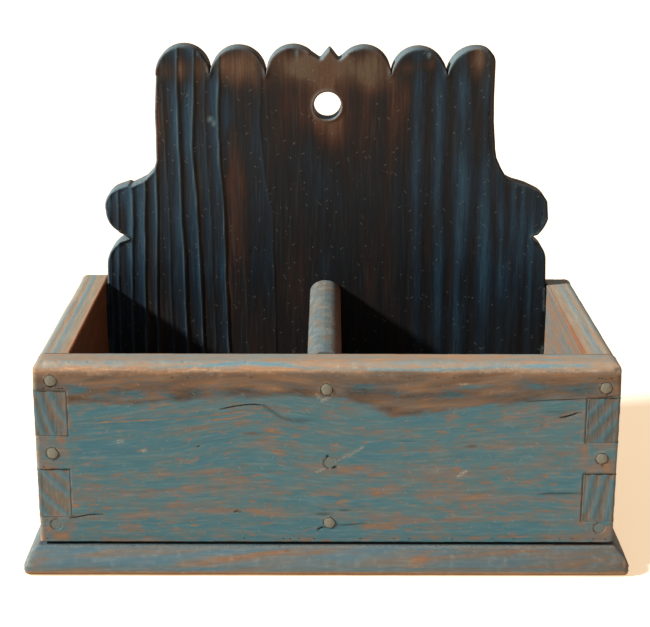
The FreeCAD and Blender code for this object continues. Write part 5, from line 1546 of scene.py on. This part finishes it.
# --- fields of the back board: 0 is blue, 0.5 near black, 1 bare brown wood
def fields_back(plank):
    x, y, zz = plank.world.T
    z = zz - RIM
    front, rear, wall = plank.region == 0, plank.region == 1, plank.region == 2
    h, painted_lit_flank, crest, hollow_dark_paint_and_shade = back_ridges(x, z)
    loss = 0.36 + 0.10 * fbm(x / 3.0, z / 45.0, 401, 3) + 0.08 * fbm(x / 1.2, z / 18.0, 402, 2) + 0.08 * vnoise(x / 20.0, z / 30.0, 403)
    # lighter blue on the left flanks of the hard lines: painted light
    loss -= 0.20 * painted_lit_flank + 0.08 * smooth(56, 76, x) + 0.14 * smooth(-102, -110, x)
    # browner in the hollows right of each hard line: darker paint there, with painted shade
    loss += 0.16 * hollow_dark_paint_and_shade
    wx = x + 1.2 * vnoise(x / 6.0, z / 14.0, 404)
    wz = z + 5.0 * vnoise(x / 9.0, z / 16.0, 405)
    zones = [  # brown places: x, z, half width, half height, strength
        (-94, 92, 4.5, 26, .30), (-52, 30, 6.0, 42, .34), (-53, 70, 4.0, 20, .22), (-28, 98, 9, 24, .26), (-4, 108, 15, 22, .52), (-2, 126, 16, 10, .42),
        (2, 84, 8, 12, .30), (26, 98, 20, 34, .26), (42, 98, 5, 20, .34), (12, 60, 6, 14, .14), (52, 20, 4, 20, .18), (-70, 100, 3, 26, .18),
        (-84.5, 118, 3, 12, .10), (91, 104, 4.5, 30, .42), (-46, 100, 6, 22, .20), (-18, 20, 9, 30, .14), (30, 10, 9, 20, .14), (-80, 124, 18, 6, .30),
        (-50, 122, 13, 11, .50), (-20, 126, 13, 9, .38), (23, 121, 12, 11, .48), (52, 128, 12, 4.5, .32), (84, 126, 8, 9, .48), (70, 52, 3.5, 40, .10),
        (-120, 40, 5, 14, .12), (104, 50, 2.5, 16, .08), (-100, 20, 3, 22, .12)]
    brown = sum(s * np.exp(-0.8 * (((wx - a) / c) ** 2 + ((wz - b) / d) ** 2) ** 1.3) for a, b, c, d, s in zones)
    loss = loss + brown * (1 - 0.55 * painted_lit_flank)
    # browner lower down inside the box: painted warm shade
    loss += 0.05 * np.exp(-(x / 45.0) ** 2) + 0.13 * smooth(32, -20, z) * smooth(70, 20, x) + 0.07 * smooth(15, -50, z) + 0.10 * hollow_dark_paint_and_shade * np.clip(0.4 + vnoise(x / 7.0, z / 20.0, 412), 0, 1)
    # pale lines along the crests of the hard lines: painted highlight
    pale = (0.42 * crest * (0.6 + 0.6 * vnoise(z / 8.0, x, 406)) * (x < -40) + 0.10 * crest) * front
    # worn, rounded edge all round; the greener, paler colour on the left-hand and upper arrises is painted highlight,
    # strongest where the face turns towards the key light
    rim_f = (1 - smooth(0.2, 3.0, plank.near))
    nrm = normals_of(plank)
    lit = np.clip(0.45 * nrm[:, 2] - 0.80 * nrm[:, 0] + 0.14, 0, 1)
    pale = np.maximum(pale, (front | wall) * np.where(wall, 1.0, rim_f) * lit * 0.95 * np.where(x > 90, 0.45, 1.0))
    loss = loss + 0.10 * rim_f * front
    loss = np.where(wall, 0.78 + 0.18 * fbm((x + z) / 5.0, y / 2.0, 407, 3), loss)
    # darker in the hollows: darker paint deepened with painted shade
    dark = 0.10 + 0.45 * hollow_dark_paint_and_shade * (x < 5) + 0.14 * hollow_dark_paint_and_shade * (x >= 5) + 0.16 * np.clip(fbm(x / 2.0, z / 22.0, 408, 3), 0, 1)
    # darker towards the bottom inside the box: painted shade; also darker right of x = -45 and lighter at the far left
    dark = np.where(front, dark + 0.45 * smooth(6, -60, z) + 0.38 * smooth(-45, -25, x) - 0.24 * smooth(-104, -112, x), dark)
    dark = np.maximum(dark, front * ellipses(x, z, [(-43.5, 17, 1.5, 1.6, .9), (-20, 131, 2.4, 2.6, .3), (52.0, 131.6, 2.4, 1.2, .8), (82, 130, 1.6, 4.4, .7)]))
    # dark round the bottoms of the notches between the lobes: painted shade in the narrow cuts
    for nx, nz in ((CREST[17][0], CREST[17][1]), (CREST[18][0], CREST[18][1]), (CREST[24][0], CREST[24][1]), (CREST[25][0], CREST[25][1]),
                   (CREST[3][0], CREST[3][1]), (CREST[40][0], CREST[40][1])):
        dark = np.maximum(dark, (1 - smooth(0.8, 3.0, np.hypot(x - nx, zz - nz))) * 0.9)
    for px, pz in BACK_PEGS.values():
        dark = np.maximum(dark, rear * (1 - smooth(3.0, 3.8, np.hypot(x - px, zz - pz))) * 0.85)
    pale = np.maximum(pale, front * 0.8 * ellipses(x, z, [(-17, 132, .9, 3.2, .5), (-66, 95, 1.6, 1.0, .8), (-64, 92, 1.0, 1.0, .7), (84, 122.2, 4.5, .4, .7), (57, 131, 1.2, 1.8, .7),
                      (-92.5, 132.5, 1.0, 2.4, .5), (-72, 132.0, 1.2, 2.2, .4)]))
    loss = np.where(rear, 0.60 + 0.16 * fbm(x / 2.4, zz / 40.0, 409, 3) + 0.10 * vnoise(x / 25.0, zz / 30.0, 410), loss)
    dark = np.where(rear, np.maximum(dark, 0.12), dark)
    grain = np.stack([zz, x + 1.5 * vnoise(x / 20.0, zz / 60.0, 411), y * 0.8], 1)
    tan = front * np.clip(brown * 1.6 - 0.15, 0, 1) * smooth(105, 122, z) * (1 - 0.8 * np.exp(-((x + 1) / 9.0) ** 2))
    tan = np.where(wall & (z > 40), 0.6, tan)
    put_fields(plank, grain, loss, dark, pale, np.where(rear, 0.75, tan))


NAVY = under([(0.00, (50, 86, 104)), (0.14, (36, 66, 84)), (0.28, (25, 45, 60)), (0.42, (22, 30, 38)), (0.54, (29, 26, 26)), (0.66, (44, 30, 25)),
              (0.80, (70, 42, 29)), (0.90, (92, 58, 40)), (1.00, (112, 80, 58))], 1.15)
NAVY_WORN = under([(0.00, (56, 74, 82)), (0.2, (52, 62, 66)), (0.40, (56, 52, 48)), (0.55, (68, 53, 42)), (0.70, (88, 66, 49)), (0.85, (102, 77, 56)),
                   (1.00, (124, 102, 80))], 1.32)
fields_back(back_board)
back_board.obj.data.materials.append(painted(
    "dark_blue_paint", NAVY, tint=NAVY_WORN, streak=0.12, fine=0.17, speck=0.22, pores=0.45, dark=(12, 9, 8), pale=(104, 124, 130), rough=(0.48, 0.62),
    vary=0.18, long=2.2, specks=0.70, dot=0.15, speck_tone=(112, 112, 100), spec=0.22, soft_pale=True,
    cell=((15.0, 1.6), (4.5, 0.55), (1.3, 0.7), (4.0, 2.6))))


# --- fields of the base
def fields_base(plank):
    x, y, z = plank.world.T
    top, under, wall = plank.region == 0, plank.region == 1, plank.region == 2
    a = y - flow_base(x, y)
    slope = np.where(y < -70, z, 14.0)        # height on the front bevel and edge
    across = np.where(y < -60, a + 0.0, a) + np.where(wall, -z * 1.1, 0)
    s = -(y + 88) + np.where(wall & (y < -80), (8 - z), 0)
    streakline = np.sin((s * 0.55 + x * 0.055 + 1.6 * vnoise(x / 30.0, s / 4.0, 501)) * 1.25)
    loss = 0.34 + 0.16 * fbm(x / 30.0, (s + x * 0.06) / 2.2, 502, 3) + 0.12 * fbm(x / 12.0, (s + x * 0.05) / 1.0, 503, 2)
    loss += 0.16 * smooth(0.45, 0.95, streakline)
    loss += ellipses(x, s, [(-95, -4, 30, 1.5, .26, -0.03), (-30, -3.2, 34, 1.5, .34, -0.06), (60, -2.5, 45, 1.4, .25, -0.05), (110, -4.5, 25, 1.7, .2)])
    loss += 0.13 * smooth(112, 140, x) + 0.10 * smooth(-135, -150, x) - 0.05 * smooth(0, -60, x)
    loss += 0.10 * smooth(5.0, 2.0, z) * (y < -84) * fbm(x / 8.0, z / 2.0, 504, 2)
    side = np.abs(x) > 149
    loss = np.where(side & (x < 0), 0.26 + 0.24 * fbm(y / 20.0, z / 2.0, 505, 3), loss)
    loss = np.where(side & (x > 0), 0.60 + 0.16 * fbm(y / 20.0, z / 2.0, 506, 3), loss)
    inside_box = top & (np.abs(x) < 128) & (y > -63) & (y < 71)
    loss = np.where(inside_box, 0.60 + 0.16 * fbm(x / 30.0, a / 2.0, 507, 3), loss)
    loss = np.where(under, 0.72 + 0.16 * fbm(x / 34.0, a / 2.0, 508, 3), loss)
    dark = np.where(inside_box, 0.55, 0.0)
    # the base's top darkened along the feet of the front and side boards: painted shade in the crease between the parts
    rim_gap = np.minimum(np.where(y > -81, np.abs(np.abs(x) - 145), 9), np.where(np.abs(x) < 146, np.abs(y + 80), 9))
    dark = np.maximum(dark, top * (1 - smooth(0.0, 1.6, rim_gap)) * 0.6 * (y < 0))
    dark = np.where(under, 0.12 + 0.2 * np.clip(vnoise(x / 30.0, y / 24.0, 509), 0, 1), dark)
    for px, py in BASE_PEGS.values():
        dark = np.maximum(dark, under * (1 - smooth(3.0, 3.8, np.hypot(x - px, y - py))) * 0.85)
    # darker on the lowest few millimetres of the front and ends, next to the floor: painted shade
    dark = np.maximum(dark, ((y < -84) | (np.abs(x) > 149)) * (z > 0.2) * smooth(3.6, 0.8, z) * 0.62)
    dark = np.maximum(dark, ((x < -150) & (z < 12)) * 0.20)
    dark = np.maximum(dark, (y < -79) * (0.20 * smooth(10, 90, x) + 0.12 * smooth(116, 140, x)))
    dark = np.maximum(dark, 0.8 * ellipses(x, s, [(60, -6, 2, .7, .4), (-20, -5, 1.4, .6, .4)]) * (y < -80))
    edge_r = np.minimum(np.abs(s + 7.4), 9)
    pale = 0.20 * np.exp(-(edge_r / 0.8) ** 2) * (np.abs(y + 80.6) < 2) + 0.30 * smooth(-146, -152, x) * (z > 5)
    pale = np.maximum(pale, 0.12 * np.clip(fbm(x / 3.0, s / 1.6, 510, 2) - 0.2, 0, 1) * 2 * (y < -80))
    grain = np.stack([x, across, z * 0.8], 1)
    put_fields(plank, grain, loss, dark, pale, np.where(under, 1.0, 0.0))


SLATE = under([(0.00, (78, 120, 138)), (0.20, (90, 122, 134)), (0.36, (104, 122, 126)), (0.48, (116, 118, 114)), (0.60, (128, 114, 100)),
               (0.74, (150, 110, 82)), (0.88, (168, 118, 84)), (1.00, (196, 160, 126))], 1.60)
RAW = [(0.00, (104, 84, 66)), (0.4, (118, 92, 68)), (0.7, (138, 106, 76)), (1.00, (160, 128, 96))]
fields_base(base_board)
base_board.obj.data.materials.append(painted(
    "old_blue_grey_paint_base", SLATE, tint=RAW, specks=0.15, speck_tone=(165, 155, 138), cell=((14.0, 2.2), (5.0, 0.8), (1.2, 0.75), (5.0, 2.6)),
    streak=0.18, fine=0.16, speck=0.10, pale=(176, 172, 160), spec=0.25))


# --- fields of the divider
def fields_divider(plank):
    x, y, zz = plank.world.T
    z = zz - RIM
    nrm = normals_of(plank)
    # faces turned to the right, away from the key light, get more bare wood, extra darkness, the russet tint and no
    # pale marks: painted warm shade
    right = smooth(0.2, 0.9, nrm[:, 0])
    loss = 0.42 + 0.26 * fbm(x / 5.0, y / 7.0 + zz / 9.0, 601, 3) + 0.12 * fbm(x / 2.0, y / 5.0, 602, 2) + 0.24 * right
    loss = np.where(zz < 98, 0.60 + 0.2 * fbm(y / 20.0, zz / 3.0, 603, 3), loss)
    dark = 0.55 * smooth(100, 60, zz) + 0.12 * right
    dark = np.maximum(dark, 0.5 * smooth(-60.8, -62.2, y))
    pale = 0.45 * np.clip(fbm(x / 3.0, y / 4.0, 604, 3) + 0.05, 0, 1) * (1 - right) * smooth(98, 106, zz)
    grain = np.stack([y, zz + x, x * 0.8], 1)
    put_fields(plank, grain, loss, dark, pale, right * 0.8)


GREY_BLUE = under([(0.00, (98, 128, 140)), (0.25, (112, 132, 138)), (0.42, (126, 132, 128)), (0.55, (136, 128, 114)), (0.70, (142, 120, 98)),
                   (0.85, (140, 100, 74)), (1.00, (176, 140, 110))], 1.60)
# russet for the right-hand faces of the divider: painted warm shade
RUSSET_PAINTED_SHADE = [(0.00, (84, 70, 64)), (0.4, (112, 68, 46)), (0.7, (126, 66, 38)), (1.00, (146, 88, 58))]
fields_divider(divider)
divider.obj.data.materials.append(painted(
    "old_blue_grey_paint_divider", GREY_BLUE, tint=RUSSET_PAINTED_SHADE, specks=0.35, speck_tone=(176, 170, 152), cell=((5.0, 3.0), (2.2, 1.3), (1.0, 0.8), (3.5, 3.0)),
    streak=0.16, fine=0.14, speck=0.10, pale=(178, 172, 156), spec=0.25))


# --- peg material: end grain on the head, rubbed paint over it
def peg_material(name, paint, wood, mix_bias, ring=0.35):
    g = Graph(name)
    grain = g.attr("grain", True)
    head, radial = g.attr("head"), g.attr("radial")
    n1 = g.noise(g.scaled(grain, (0.4, 1 / 1.0, 1 / 0.5)), 3.0, 0.6)
    n2 = g.noise(g.scaled(grain, (0.3, 1 / 0.35, 1 / 0.35), (4, 2, 1)), 2.0, 0.6)
    wood_c = g.ramp(g.add(n1, g.centred(n2, 0.5), True), wood)
    paint_c = g.ramp(g.add(n2, g.centred(n1, 0.4), True), paint)
    where = g.step(g.add(n1, g.centred(n2, 0.35)), mix_bias - 0.10, mix_bias + 0.10)
    colour = g.mix(where, paint_c, wood_c)
    colour = g.mix(g.step(radial, 0.88, 1.03, 0.0, ring), colour, srgb((34, 29, 24)))
    colour = g.mix(g.step(n2, 0.66, 0.78, 0.0, 0.6), colour, srgb((34, 28, 24)))
    g.put(g.bsdf.inputs["Base Color"], colour)
    g.put(g.bsdf.inputs["Roughness"], g.step(n1, 0.2, 0.8, 0.5, 0.72))
    g.bsdf.inputs["Specular IOR Level"].default_value = 0.35
    g.put(g.bsdf.inputs["Normal"], g.bump(g.add(n2, g.mul(n1, 0.6)), 0.6, 0.0002))
    return g.mat


front_peg_mat = peg_material("peg_end_front", under([(0, (92, 110, 106)), (1, (112, 115, 104))], 1.06),
                             under([(0, (98, 90, 74)), (0.5, (118, 107, 90)), (1, (138, 127, 108))], 1.20), 0.46, ring=0.30)
flush_peg_mat = peg_material("peg_end_painted", under([(0, (76, 104, 108)), (1, (96, 106, 102))], 1.18),
                             under([(0, (96, 102, 98)), (0.5, (108, 102, 94)), (1, (122, 106, 90))], 1.22), 0.56, ring=0.0)
back_peg_mat = peg_material("peg_end_back", [(0, (40, 48, 54)), (1, (60, 68, 72))], [(0, (84, 66, 50)), (0.5, (112, 90, 66)), (1, (138, 112, 82))], 0.42)
base_peg_mat = peg_material("peg_end_base", [(0, (96, 78, 60)), (1, (118, 96, 72))], [(0, (104, 84, 62)), (0.5, (132, 106, 78)), (1, (156, 128, 96))], 0.45)
pegs = []
for k, (node, (px, pz)) in enumerate(FRONT_PEGS.items()):
    flush = node in FLUSH
    o = peg("whittled_" + node, "y", (px, pz), -80.6 + (0.72 if flush else 0.0), -35, 2.89 if flush else 2.80, 11 + k, proud=0.03 if flush else 0.40,
            tilt=(0.10 * math.cos(k * 2.1), 0.12 * math.sin(k * 1.3)) if not flush else (0.02, 0.02), chamfer=0.55, uneven=0.1 if flush else 1.0)
    o.data.materials.append(flush_peg_mat if flush else front_peg_mat)
    pegs.append((o, node))
for k, (node, (px, pz)) in enumerate(BACK_PEGS.items()):
    o = peg("whittled_" + node, "y", (px, pz), 87.95, 43, 2.72, 31 + k, proud=0.25, tilt=(0.05, 0.05))
    o.data.materials.append(back_peg_mat)
    pegs.append((o, node))
for k, (node, (px, py)) in enumerate(BASE_PEGS.items()):
    o = peg("whittled_" + node, "z", (px, py), 0.42, 36, 2.72, 51 + k, proud=0.25, tilt=(0.05, 0.05))
    o.data.materials.append(base_peg_mat)
    pegs.append((o, node))

for plank, node, slot in ((front_board, "front_board", "blue_paint"), (left_side, "left_side", "blue_paint"), (right_side, "right_side", "blue_paint"),
                          (back_board, "back_board", "dark_paint"), (base_board, "base_board", "grey_blue_paint"), (divider, "divider", "grey_blue_paint")):
    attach(plank.obj, "root")
    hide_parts(node)
    print(node, len(plank.obj.data.vertices), "verts", sum(p.loop_total - 2 for p in plank.obj.data.polygons), "tris")
for o, node in pegs:
    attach(o, "root")
    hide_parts(node)


# ------------------------------------------------------------------ camera, floor and light
scene = bpy.context.scene
cam_data = bpy.data.cameras.new("camera")
cam = bpy.data.objects.new("camera", cam_data)
scene.collection.objects.link(cam)
cam_data.sensor_width = 36.0
cam_data.lens = 86.33
cam_data.clip_start, cam_data.clip_end = 0.01, 30.0
cam.matrix_world = (Matrix.Translation(Vector((-2.76, -802.77, 352.72)) * 0.001)
                    @ Matrix.Rotation(math.radians(-0.1268), 4, "Z") @ Matrix.Rotation(math.radians(90 - 16.666), 4, "X")
                    @ Matrix.Rotation(math.radians(0.1561), 4, "Z"))
scene.camera = cam

floor_mesh = bpy.data.meshes.new("floor")
floor_mesh.from_pydata([(-8, -8, 0), (8, -8, 0), (8, 8, 0), (-8, 8, 0)], [], [(0, 1, 2, 3)])
floor = bpy.data.objects.new("floor", floor_mesh)
scene.collection.objects.link(floor)
fg = Graph("pale_floor")
tc = fg.tree.nodes.new("ShaderNodeTexCoord")
fn = fg.noise(fg.scaled(tc.outputs["Object"], (1.2, 1.2, 1.2)), 2.0, 0.5)
fg.put(fg.bsdf.inputs["Base Color"], fg.ramp(fn, [(0.3, (206, 202, 196)), (0.7, (212, 208, 202))]))
# the floor gives off a warm glow of its own: painted light standing in for warm fill, which also lightens and warms the
# cast shadow on the floor
fg.bsdf.inputs["Emission Color"].default_value = (1.0, 0.70, 0.42, 1)
fg.bsdf.inputs["Emission Strength"].default_value = 0.75
fg.bsdf.inputs["Roughness"].default_value = 0.9
fg.bsdf.inputs["Specular IOR Level"].default_value = 0.1
floor_mesh.materials.append(fg.mat)

world = bpy.data.worlds.new("world")
scene.world = world
world.use_nodes = True
world.node_tree.nodes["Background"].inputs["Color"].default_value = (1.0, 0.985, 0.96, 1)
world.node_tree.nodes["Background"].inputs["Strength"].default_value = 0.30


key_data = bpy.data.lights.new("key", "SUN")
key_data.energy, key_data.angle, key_data.color = 6.3, math.radians(5.0), (1.0, 0.985, 0.96)
key = bpy.data.objects.new("key", key_data)
scene.collection.objects.link(key)
key.rotation_euler = Vector((1.0, 0.30, -0.69)).to_track_quat("-Z", "Y").to_euler()
scene.view_settings.view_transform = "Standard"
scene.view_settings.look = "None"
